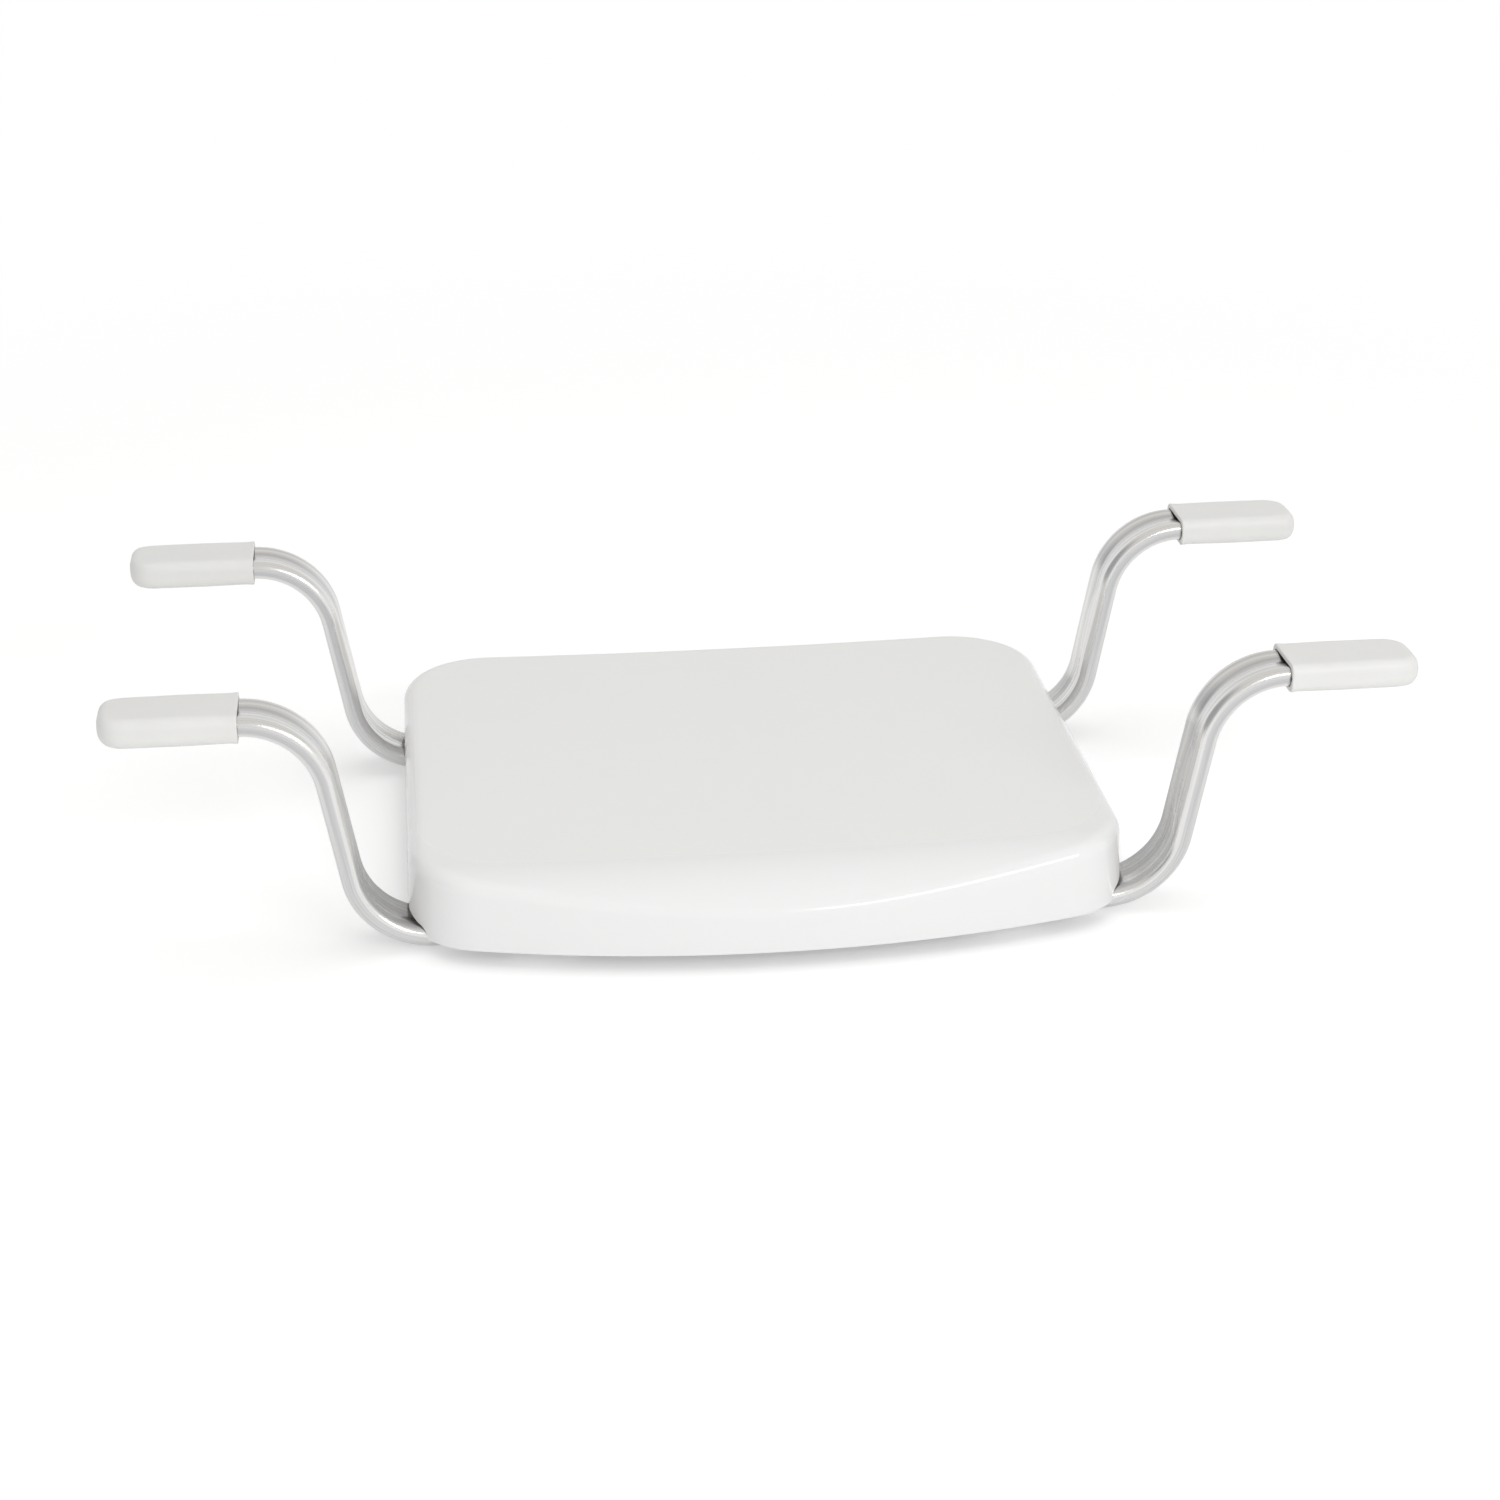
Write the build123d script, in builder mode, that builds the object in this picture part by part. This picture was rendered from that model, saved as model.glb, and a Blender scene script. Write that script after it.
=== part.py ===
from build123d import *
from math import asin, cos, degrees, radians, sin, sqrt, tan
import os

# Hanging bath seat: a moulded seat carried between the rims of a bath by four
# S-bent flat-oval arms. The arms slide outwards under the seat to suit the bath
# and are locked by saddles with hand knobs. Millimetres, +X to the right, +Y to
# the back, +Z up. The origin is under the middle, level with the saddles' bottoms.

# ---- arms ---------------------------------------------------------------------
overall_width = 735.0
arm_edge_gap = 44.5
arm_rise = 134.0
tube_width = 34.0
tube_height = 11.0
tube_corner = 4.2
tube_wall = 1.6
bend_radius = 45.5
bend_angle = 80.0
arm_inner_x = 44.0

# ---- grips and plugs ------------------------------------------------------------
grip_length = 75.5
grip_wall = 3.2
grip_end_wall = 3.0
grip_corner = 4.5
grip_plan_round = 12.0
grip_lip_round = 0.8
grip_taper = 0.8
sleeve_clear = 0.05
plug_flange = 2.0
plug_shank = 14.0
plug_clear = 0.05
plug_wall = 2.0

# ---- seat shell -----------------------------------------------------------------
seat_width = 413.0
seat_depth = 354.0
seat_height = 44.0
seat_wall = 3.2
seat_draft = 3.0
skirt_above_tube_axis = 1.0
front_bow_radius = 682.0
back_corner_radius = 57.0
front_corner_radius = 49.0
dish_depth = 3.0
dish_overreach = 1.2
roll_radius = 62.0
roll_reach = 44.0
roll_sweep = 52.0
top_edge_round = 9.0
rib_wall = 2.4
rib_pitch = 30.0
bed_half_width = 23.0
shallow_rib_pitch = 62.0
shallow_rib_depth = 5.0
notch_clear = 1.0

# ---- saddles --------------------------------------------------------------------
slide_clear = 0.3
saddle_wall = 2.5
saddle_length = 40.0
saddle_inset = 76.5
saddle_ear_bend = 1.5
ear_below_tube_top = 1.0
ear_margin = 8.5
ear_corner = 4.0
knob_offset = 35.0
screw_offset = 29.0
ear_hole_clear = 0.3

# ---- knobs, screws and inserts ----------------------------------------------------
thread_radius = 3.0
thread_clear = 0.05
knob_radius = 13.0
knob_lift = 1.0
knob_collar_radius = 7.0
knob_collar_height = 1.2
knob_lobes = 6
scallop_radius = 4.5
scallop_depth = 2.4
knob_edge_round = 1.0
stud_in_knob = 7.0
stud_in_insert = 11.0
stud_tip_chamfer = 0.5
screw_head_radius = 6.0
screw_head_height = 3.6
screw_head_round = 1.2
hex_socket = 4.0
hex_socket_depth = 2.2
insert_radius = 4.2
insert_length = 12.0
boss_wall = 3.6

# ---- worked-out levels and places -------------------------------------------------
tube_axis_z = saddle_wall + slide_clear + tube_height / 2
tube_top_z = tube_axis_z + tube_height / 2
bed_z = tube_top_z + slide_clear
ear_top_z = tube_top_z - ear_below_tube_top
ear_bottom_z = ear_top_z - saddle_wall
saddle_crown_bend = tube_corner + slide_clear
knob_height = ear_bottom_z - knob_collar_height - knob_lift
grip_axis_z = tube_axis_z + arm_rise
mouth_x = overall_width / 2 - grip_length
bend_tangent = bend_radius * tan(radians(bend_angle) / 2)
upper_knee_x = mouth_x - bend_tangent
lower_knee_x = upper_knee_x - arm_rise / tan(radians(bend_angle))
lower_bend_x = lower_knee_x - bend_tangent
grip_width = tube_width + 2 * grip_wall
grip_height = tube_height + 2 * grip_wall

half_width = seat_width / 2
saddle_x = half_width - saddle_inset
half_depth = seat_depth / 2
skirt_z = tube_axis_z + skirt_above_tube_axis
rim_top_z = skirt_z + seat_height


def bow_at(x):
    """How far the bowed front edge has drawn back at a distance x from the middle."""
    return front_bow_radius - sqrt(front_bow_radius**2 - x**2)


arm_spacing = seat_depth - 2 * (bow_at(saddle_x) + arm_edge_gap)
front_corner_y = bow_at(half_width) - half_depth
roll_start_y = -half_depth + roll_reach
dish_radius = (half_width**2 + dish_depth**2) / (2 * dish_depth)
dish_bottom_z = rim_top_z - dish_depth
boss_radius = insert_radius + boss_wall
bed_rib_count = int((half_width - arm_inner_x) // rib_pitch) + 1
bed_rib_xs = [arm_inner_x + rib_pitch * i for i in range(bed_rib_count)]
notch_start_x = min(half_width - front_corner_radius, lower_bend_x) - notch_clear
grip_end_width = grip_width - 2 * grip_length * tan(radians(grip_taper))

SIDES = {"left": -1, "right": 1}
ROWS = {"front": -1, "back": 1}
CORNERS = [(f"{r}_{s}", SIDES[s], ROWS[r]) for r in ROWS for s in SIDES]
BED_RIB_PLACES = [(side * x, row * arm_spacing / 2) for _, side, row in CORNERS for x in bed_rib_xs]


def arm_plane(side, row):
    """Upright plane of one arm: local x runs outwards, local y runs up."""
    return Plane((0, row * arm_spacing / 2, tube_axis_z), x_dir=(side, 0, 0), z_dir=(0, -side, 0))


def grip_plane(side, row):
    """Level plane through the middle of a sleeve: local x runs outwards from its mouth."""
    return Plane((side * mouth_x, row * arm_spacing / 2, grip_axis_z), x_dir=(side, 0, 0), z_dir=(0, 0, 1))


def cross_plane(x, side, row, z):
    """Plane across an arm at a distance x from the middle, facing outwards."""
    return Plane((side * x, row * arm_spacing / 2, z), x_dir=(0, 1, 0), z_dir=(side, 0, 0))


def knob_place(side, row):
    """Centre of a knob, on the inner ear of a saddle."""
    return side * saddle_x, row * (arm_spacing / 2 - knob_offset)


def screw_place(side, row):
    """Centre of a saddle screw, on the outer ear of a saddle."""
    return side * saddle_x, row * (arm_spacing / 2 + screw_offset)


KNOB_PLACES = [knob_place(side, row) for _, side, row in CORNERS]
SCREW_PLACES = [screw_place(side, row) for _, side, row in CORNERS]


def save(builder, name):
    """Label a finished piece and write its file."""
    builder.part.label = name
    export_step(builder.part, f"parts/{name}.step")


os.makedirs("parts", exist_ok=True)


# ---- seat shell -------------------------------------------------------------------
def seat_form(inset):
    """Closed outer form of the seat, or the same form moved in by a wall."""
    swing = degrees(asin(half_width / dish_radius)) * dish_overreach
    above = 3 * seat_height
    crown = -dish_radius - inset
    roll = roll_radius - inset
    roll_end = (roll_start_y - roll * sin(radians(roll_sweep)),
                crown - roll * (1 - cos(radians(roll_sweep))))
    cap_plane = Plane(
        (0, 0, dish_bottom_z + dish_radius),
        x_dir=(0, 1, 0),
        z_dir=(cos(radians(swing)), 0, -sin(radians(swing))),
    )
    with BuildPart() as form:
        with BuildSketch(Plane.XY.offset(skirt_z)) as outline:
            with BuildLine():
                Polyline(
                    (half_width, front_corner_y),
                    (half_width, half_depth),
                    (-half_width, half_depth),
                    (-half_width, front_corner_y),
                )
                ThreePointArc(
                    (-half_width, front_corner_y), (0, -half_depth), (half_width, front_corner_y)
                )
            make_face()
            fillet(outline.vertices().group_by(Axis.Y)[-1], radius=back_corner_radius)
            fillet(outline.vertices().group_by(Axis.Y)[0], radius=front_corner_radius)
            if inset:
                offset(amount=-inset, mode=Mode.REPLACE)
        extrude(amount=seat_height + above, taper=seat_draft)
        with BuildSketch(cap_plane):
            with BuildLine():
                Polyline(
                    roll_end,
                    (-seat_depth, roll_end[1]),
                    (-seat_depth, crown + 2 * above),
                    (seat_depth, crown + 2 * above),
                    (seat_depth, crown),
                    (roll_start_y, crown),
                )
                RadiusArc((roll_start_y, crown), roll_end, -roll)
            make_face()
        revolve(
            axis=Axis(cap_plane.origin, (0, -1, 0)), revolution_arc=2 * swing, mode=Mode.SUBTRACT
        )
        *_, roll_face, top = form.faces().sort_by(Axis.Z)
        border = [e for e in top.edges() if not any(e.is_same(r) for r in roll_face.edges())]
        border += [e for e in roll_face.edges() if not any(e.is_same(t) for t in top.edges())]
        fillet(border, radius=top_edge_round - inset)
    return form.part


outer_form = seat_form(0)
middle_form = seat_form(seat_wall / 2)
inner_form = seat_form(seat_wall)

with BuildPart() as underside:
    with BuildSketch(Plane.XY.offset(bed_z)):
        with Locations(*BED_RIB_PLACES):
            Rectangle(rib_wall, 2 * bed_half_width)
        for row in ROWS.values():
            with GridLocations(1, 2 * bed_half_width, 1, 2):
                with Locations((0, row * arm_spacing / 2)):
                    Rectangle(seat_width, rib_wall)
    extrude(amount=seat_height)
    with BuildSketch(Plane.XY.offset(dish_bottom_z - seat_wall - shallow_rib_depth)):
        with GridLocations(shallow_rib_pitch, 1, int(seat_width // shallow_rib_pitch), 1):
            Rectangle(rib_wall, seat_depth)
        Rectangle(seat_width, rib_wall)
    extrude(amount=seat_height)
    with BuildSketch(Plane.XY.offset(ear_top_z)):
        with Locations(*KNOB_PLACES, *SCREW_PLACES):
            Circle(boss_radius)
    extrude(amount=seat_height + skirt_z)
    add(middle_form, mode=Mode.INTERSECT)

with BuildPart() as seat_shell:
    add(outer_form)
    add(inner_form, mode=Mode.SUBTRACT)
    add(underside.part)
    with BuildSketch(Plane.XY.offset(ear_top_z)):
        with Locations(*KNOB_PLACES, *SCREW_PLACES):
            Circle(insert_radius)
    extrude(amount=insert_length, mode=Mode.SUBTRACT)
    for _, side, row in CORNERS:
        with BuildLine(arm_plane(side, row)):
            FilletPolyline(
                (notch_start_x, 0),
                (lower_knee_x, 0),
                (upper_knee_x, arm_rise),
                radius=bend_radius,
            )
        with BuildSketch(cross_plane(notch_start_x, side, row, tube_axis_z)):
            RectangleRounded(
                tube_width + 2 * notch_clear, tube_height + 2 * notch_clear, tube_corner + notch_clear
            )
        sweep(mode=Mode.SUBTRACT)
save(seat_shell, "seat_shell")


# ---- arms -------------------------------------------------------------------------
tube_end_x = overall_width / 2 - grip_end_wall
shank_inset = tube_wall + plug_clear
shank_width = tube_width - 2 * shank_inset
shank_height = tube_height - 2 * shank_inset
shank_corner = tube_corner - shank_inset

for name, side, row in CORNERS:
    with BuildPart() as arm:
        with BuildLine(arm_plane(side, row)):
            FilletPolyline(
                (arm_inner_x, 0),
                (lower_knee_x, 0),
                (upper_knee_x, arm_rise),
                (tube_end_x, arm_rise),
                radius=bend_radius,
            )
        with BuildSketch(cross_plane(arm_inner_x, side, row, tube_axis_z)):
            RectangleRounded(tube_width, tube_height, tube_corner)
            offset(amount=-tube_wall, mode=Mode.SUBTRACT)
        sweep()
    save(arm, f"arm_{name}")

    with BuildPart() as plug:
        with BuildSketch(cross_plane(arm_inner_x, side, row, tube_axis_z)):
            RectangleRounded(tube_width, tube_height, tube_corner)
        extrude(amount=-plug_flange)
        with BuildSketch(cross_plane(arm_inner_x, side, row, tube_axis_z)):
            RectangleRounded(shank_width, shank_height, shank_corner)
            Rectangle(shank_width - 2 * plug_wall, shank_height - 2 * plug_wall, mode=Mode.SUBTRACT)
        extrude(amount=plug_shank)
    save(plug, f"tube_plug_{name}")

    with BuildPart() as grip:
        with BuildSketch(grip_plane(side, row)) as plan:
            with BuildLine():
                Polyline(
                    (0, -grip_width / 2),
                    (grip_length, -grip_end_width / 2),
                    (grip_length, grip_end_width / 2),
                    (0, grip_width / 2),
                    close=True,
                )
            make_face()
            fillet(plan.vertices().group_by(Axis.X)[-1], radius=grip_plan_round)
        extrude(amount=grip_height / 2, both=True)
        flats = grip.faces().sort_by(Axis.Z)
        rims = (flats[0].edges() + flats[-1].edges()).sort_by(Axis.X, reverse=side < 0)
        fillet(rims[2:], radius=grip_corner)
        mouth = grip.faces().sort_by(Axis.X, reverse=side < 0)[0]
        fillet(mouth.edges(), radius=grip_lip_round)
        with BuildSketch(cross_plane(mouth_x, side, row, grip_axis_z)):
            RectangleRounded(
                tube_width + 2 * sleeve_clear, tube_height + 2 * sleeve_clear, tube_corner + sleeve_clear
            )
        extrude(amount=grip_length - grip_end_wall, mode=Mode.SUBTRACT)
    save(grip, f"grip_{name}")


# ---- saddles ------------------------------------------------------------------------
leg_in = tube_width / 2 + slide_clear
leg_out = leg_in + saddle_wall
crown_top = -tube_height / 2 - slide_clear
crown_bottom = crown_top - saddle_wall
ear_top = ear_top_z - tube_axis_z
ear_bottom = ear_bottom_z - tube_axis_z
screw_ear_end = -screw_offset - ear_margin
knob_ear_end = knob_offset + ear_margin
outside_ear_bend = saddle_ear_bend + saddle_wall
outside_crown_bend = saddle_crown_bend + saddle_wall

for name, side, row in CORNERS:
    strip_plane = Plane(
        (side * saddle_x, row * arm_spacing / 2, tube_axis_z), x_dir=(0, -row, 0), z_dir=(-row, 0, 0)
    )
    with BuildPart() as saddle:
        with BuildSketch(strip_plane):
            with BuildLine():
                upper = FilletPolyline(
                    (screw_ear_end, ear_top),
                    (-leg_in, ear_top),
                    (-leg_in, crown_top),
                    (leg_in, crown_top),
                    (leg_in, ear_top),
                    (knob_ear_end, ear_top),
                    radius=[outside_ear_bend, saddle_crown_bend, saddle_crown_bend, outside_ear_bend],
                )
                lower = FilletPolyline(
                    (screw_ear_end, ear_bottom),
                    (-leg_out, ear_bottom),
                    (-leg_out, crown_bottom),
                    (leg_out, crown_bottom),
                    (leg_out, ear_bottom),
                    (knob_ear_end, ear_bottom),
                    radius=[saddle_ear_bend, outside_crown_bend, outside_crown_bend, saddle_ear_bend],
                )
                Line(upper @ 0, lower @ 0)
                Line(upper @ 1, lower @ 1)
            make_face()
        extrude(amount=saddle_length / 2, both=True)
        ear_ends = saddle.edges().filter_by(Axis.Z).group_by(Axis.Y)
        fillet(ear_ends[0] + ear_ends[-1], radius=ear_corner)
        with BuildSketch(Plane.XY.offset(ear_bottom_z)):
            with Locations(knob_place(side, row), screw_place(side, row)):
                Circle(thread_radius + ear_hole_clear)
        extrude(amount=saddle_wall, mode=Mode.SUBTRACT)
    save(saddle, f"saddle_{name}")


# ---- knobs and studs ------------------------------------------------------------------
for name, side, row in CORNERS:
    x, y = knob_place(side, row)
    with BuildPart() as knob:
        with BuildSketch(Plane((x, y, ear_bottom_z - knob_collar_height), z_dir=(0, 0, -1))):
            Circle(knob_radius)
            with PolarLocations(knob_radius + scallop_radius - scallop_depth, knob_lobes):
                Circle(scallop_radius, mode=Mode.SUBTRACT)
        extrude(amount=knob_height)
        rims = knob.faces().filter_by(Axis.Z).edges()
        fillet(rims, radius=knob_edge_round)
        with BuildSketch(Plane((x, y, ear_bottom_z), z_dir=(0, 0, -1))):
            Circle(knob_collar_radius)
        extrude(amount=knob_collar_height)
        with BuildSketch(Plane((x, y, ear_bottom_z), z_dir=(0, 0, -1))):
            Circle(thread_radius)
        extrude(amount=stud_in_knob, mode=Mode.SUBTRACT)
    save(knob, f"knob_{name}")

    with BuildPart() as stud:
        with BuildSketch(Plane.XY.offset(ear_bottom_z - stud_in_knob)):
            with Locations((x, y)):
                Circle(thread_radius)
        extrude(amount=stud_in_knob + saddle_wall + stud_in_insert)
        tip = stud.faces().sort_by(Axis.Z)[-1]
        chamfer(tip.edges(), length=stud_tip_chamfer)
    save(stud, f"knob_stud_{name}")


# ---- saddle screws and threaded inserts -------------------------------------------------
with BuildPart() as saddle_screws:
    with BuildSketch(Plane.XY.offset(ear_bottom_z - screw_head_height)):
        with Locations(*SCREW_PLACES):
            Circle(screw_head_radius)
    extrude(amount=screw_head_height)
    fillet(saddle_screws.edges().group_by(Axis.Z)[0], radius=screw_head_round)
    with BuildSketch(Plane.XY.offset(ear_bottom_z)):
        with Locations(*SCREW_PLACES):
            Circle(thread_radius)
    extrude(amount=saddle_wall + stud_in_insert)
    with BuildSketch(Plane.XY.offset(ear_bottom_z - screw_head_height)):
        with Locations(*SCREW_PLACES):
            RegularPolygon(hex_socket / 2, 6, major_radius=False)
    extrude(amount=hex_socket_depth, mode=Mode.SUBTRACT)
save(saddle_screws, "saddle_screws")

with BuildPart() as threaded_inserts:
    with BuildSketch(Plane.XY.offset(ear_top_z)):
        with Locations(*KNOB_PLACES, *SCREW_PLACES):
            Circle(insert_radius)
            Circle(thread_radius + thread_clear, mode=Mode.SUBTRACT)
    extrude(amount=insert_length)
save(threaded_inserts, "threaded_inserts")
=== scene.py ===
"""Hanging bath seat: the dressed model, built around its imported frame."""
import logging
import math
from collections.abc import Callable
from dataclasses import dataclass
from enum import Enum

import bmesh
import bpy
from bmesh.types import BMEdge, BMesh, BMFace, BMVert
from mathutils import Matrix, Vector, noise


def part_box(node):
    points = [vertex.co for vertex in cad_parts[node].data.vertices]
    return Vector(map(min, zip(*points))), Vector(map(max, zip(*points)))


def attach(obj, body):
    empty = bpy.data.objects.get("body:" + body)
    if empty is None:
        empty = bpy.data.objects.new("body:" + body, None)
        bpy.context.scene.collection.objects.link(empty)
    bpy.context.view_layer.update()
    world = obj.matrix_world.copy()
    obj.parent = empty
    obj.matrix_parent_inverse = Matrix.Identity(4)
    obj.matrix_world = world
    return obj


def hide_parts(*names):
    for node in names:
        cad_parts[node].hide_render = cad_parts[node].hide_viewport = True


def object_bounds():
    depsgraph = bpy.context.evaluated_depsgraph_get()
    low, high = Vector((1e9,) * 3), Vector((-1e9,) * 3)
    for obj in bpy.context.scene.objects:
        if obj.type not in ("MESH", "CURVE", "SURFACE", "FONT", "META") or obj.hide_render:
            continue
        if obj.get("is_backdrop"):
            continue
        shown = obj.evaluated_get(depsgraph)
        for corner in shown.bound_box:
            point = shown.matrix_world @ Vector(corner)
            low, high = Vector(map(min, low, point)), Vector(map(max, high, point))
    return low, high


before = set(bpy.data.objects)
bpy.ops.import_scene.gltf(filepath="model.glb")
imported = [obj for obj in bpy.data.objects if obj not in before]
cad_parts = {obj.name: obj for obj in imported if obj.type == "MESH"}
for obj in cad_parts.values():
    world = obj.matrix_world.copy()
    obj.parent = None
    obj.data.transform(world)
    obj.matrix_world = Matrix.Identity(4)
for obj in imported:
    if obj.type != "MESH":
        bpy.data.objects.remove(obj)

LOG = logging.getLogger("bath_seat")
MM = 0.001
WELD = 0.01 * MM
UP = Vector((0.0, 0.0, 1.0))
SHARP_EDGE = math.radians(38.0)
SOFT_EDGE = math.radians(60.0)
Ring = list[BMVert]


class Corner(Enum):
    """One of the four arms, by its place: (side along X, row along Y)."""

    FRONT_LEFT = (-1, -1)
    FRONT_RIGHT = (1, -1)
    BACK_LEFT = (-1, 1)
    BACK_RIGHT = (1, 1)

    @property
    def side(self) -> int:
        """-1 on the left, 1 on the right."""
        return self.value[0]

    @property
    def row(self) -> int:
        """-1 at the front, 1 at the back."""
        return self.value[1]

    @property
    def label(self) -> str:
        """The corner's name, as the frame's nodes spell it."""
        return self.name.lower()


# ---- drawing with bmesh ---------------------------------------------------------------
class Trace:
    """An outline drawn by spinning and extruding one vertex."""

    def __init__(self, bm: BMesh, start: Vector) -> None:
        """Start an outline.

        Args:
            bm: The mesh it is drawn in.
            start: The place of its first vertex.
        """
        self.bm = bm
        self.ring: Ring = [bm.verts.new(start)]

    def arc(self, centre: Vector, axis: Vector, angle: float, steps: int) -> None:
        """Carry on round a centre.

        Args:
            centre: The middle of the arc.
            axis: The axis that it turns about.
            angle: How far it turns, in radians.
            steps: How many edges it gets.
        """
        for _ in range(steps):
            turned = bmesh.ops.spin(
                self.bm, geom=[self.ring[-1]], cent=centre, axis=axis, angle=angle / steps, steps=1
            )
            self.ring.append(next(v for v in turned["geom_last"] if isinstance(v, BMVert)))

    def line(self, end: Vector, steps: int) -> None:
        """Carry on straight.

        Args:
            end: Where the line ends.
            steps: How many edges it gets.
        """
        stride = (end - self.ring[-1].co) / steps
        for _ in range(steps):
            grown = bmesh.ops.extrude_vert_indiv(self.bm, verts=[self.ring[-1]])["verts"]
            bmesh.ops.translate(self.bm, verts=grown, vec=stride)
            self.ring.append(grown[0])

    def close(self) -> Ring:
        """Join the end to the start.

        Returns:
            The ring's vertices in order.
        """
        if (self.ring[-1].co - self.ring[0].co).length < WELD:
            last = self.ring.pop()
            bmesh.ops.weld_verts(self.bm, targetmap={last: self.ring[0]})
        else:
            self.bm.edges.new((self.ring[-1], self.ring[0]))
        return self.ring


def box_ring(bm: BMesh, centre: Vector, size: Vector, corner: float, counts: tuple[int, int, int]) -> Ring:
    """Draw a ring across the X axis, shaped as a rectangle with round corners.

    Args:
        bm: The mesh it is drawn in.
        centre: The middle of the rectangle.
        size: Its size along Y and along Z.
        corner: The radius of its corners.
        counts: Edges in each corner, along Y and along Z.

    Returns:
        The ring's vertices in order.
    """
    turns, flats, sides = counts
    reach = Vector((0.0, size.x / 2 - corner, 0.0))
    rise = Vector((0.0, 0.0, size.y / 2 - corner))
    out = Vector((0.0, corner, 0.0))
    up = Vector((0.0, 0.0, corner))
    axis = Vector((1.0, 0.0, 0.0))
    trace = Trace(bm, centre + reach - rise - up)
    trace.arc(centre + reach - rise, axis, math.pi / 2, turns)
    trace.line(centre + reach + rise + out, sides)
    trace.arc(centre + reach + rise, axis, math.pi / 2, turns)
    trace.line(centre - reach + rise + up, flats)
    trace.arc(centre - reach + rise, axis, math.pi / 2, turns)
    trace.line(centre - reach - rise - out, sides)
    trace.arc(centre - reach - rise, axis, math.pi / 2, turns)
    trace.line(centre + reach - rise - up, flats)
    return trace.close()


def ring_edges(bm: BMesh, ring: Ring) -> list[BMEdge]:
    """The edges of a closed ring, in the order of its vertices."""
    return [bm.edges.get((a, b)) for a, b in zip(ring, ring[1:] + ring[:1])]


def draw_on(bm: BMesh, ring: Ring, place: Callable[[int, Vector], Vector]) -> Ring:
    """Extrude a closed ring and put each new vertex in its place.

    Args:
        bm: The mesh.
        ring: The ring's vertices in order.
        place: Gives a new vertex's place from its number and the old one's place.

    Returns:
        The new ring's vertices in the same order.
    """
    made = bmesh.ops.extrude_edge_only(bm, edges=ring_edges(bm, ring))["geom"]
    fresh = {v for v in made if isinstance(v, BMVert)}
    drawn: Ring = []
    for number, vert in enumerate(ring):
        partner = next(e.other_vert(vert) for e in vert.link_edges if e.other_vert(vert) in fresh)
        partner.co = place(number, vert.co)
        drawn.append(partner)
    return drawn


def cap(bm: BMesh, ring: Ring, inset: float) -> None:
    """Close a ring with a face that has a border of its own.

    Args:
        bm: The mesh.
        ring: The ring's vertices in order.
        inset: The width of the border.
    """
    face = bm.faces.new(ring)
    bmesh.ops.inset_region(bm, faces=[face], thickness=inset, use_even_offset=True)


def settle_order(bm: BMesh) -> None:
    """Put edges and faces in a fixed order, because extruding makes them in one that varies.

    Args:
        bm: The mesh.
    """
    bm.verts.index_update()
    span = len(bm.verts)

    def rank(part: BMEdge | BMFace) -> int:
        """A number made of the three lowest vertex numbers."""
        first, second, third = (sorted(vert.index for vert in part.verts) + [0])[:3]
        return (first * span + second) * span + third

    bm.edges.sort(key=rank)
    bm.faces.sort(key=rank)


def finish_mesh(bm: BMesh, name: str, sharp: float = SHARP_EDGE) -> bpy.types.Object:
    """Turn a bmesh into a smooth-shaded object at the origin.

    Args:
        bm: The mesh, which is freed.
        name: The object's name.
        sharp: Edges that turn by more than this angle stay sharp.

    Returns:
        The new object.
    """
    settle_order(bm)
    mesh = bpy.data.meshes.new(name)
    bm.to_mesh(mesh)
    bm.free()
    mesh.shade_smooth()
    mesh.set_sharp_from_angle(angle=sharp)
    piece = bpy.data.objects.new(name, mesh)
    bpy.context.scene.collection.objects.link(piece)
    return piece


def bake_modifiers(piece: bpy.types.Object, sharp: float = SHARP_EDGE) -> None:
    """Apply a piece's modifiers to its mesh.

    Args:
        piece: The object.
        sharp: Edges that turn by more than this angle stay sharp.
    """
    bpy.context.view_layer.update()
    graph = bpy.context.evaluated_depsgraph_get()
    mesh = bpy.data.meshes.new_from_object(piece.evaluated_get(graph))
    piece.modifiers.clear()
    piece.data = mesh
    mesh.shade_smooth()
    mesh.set_sharp_from_angle(angle=sharp)


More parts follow.
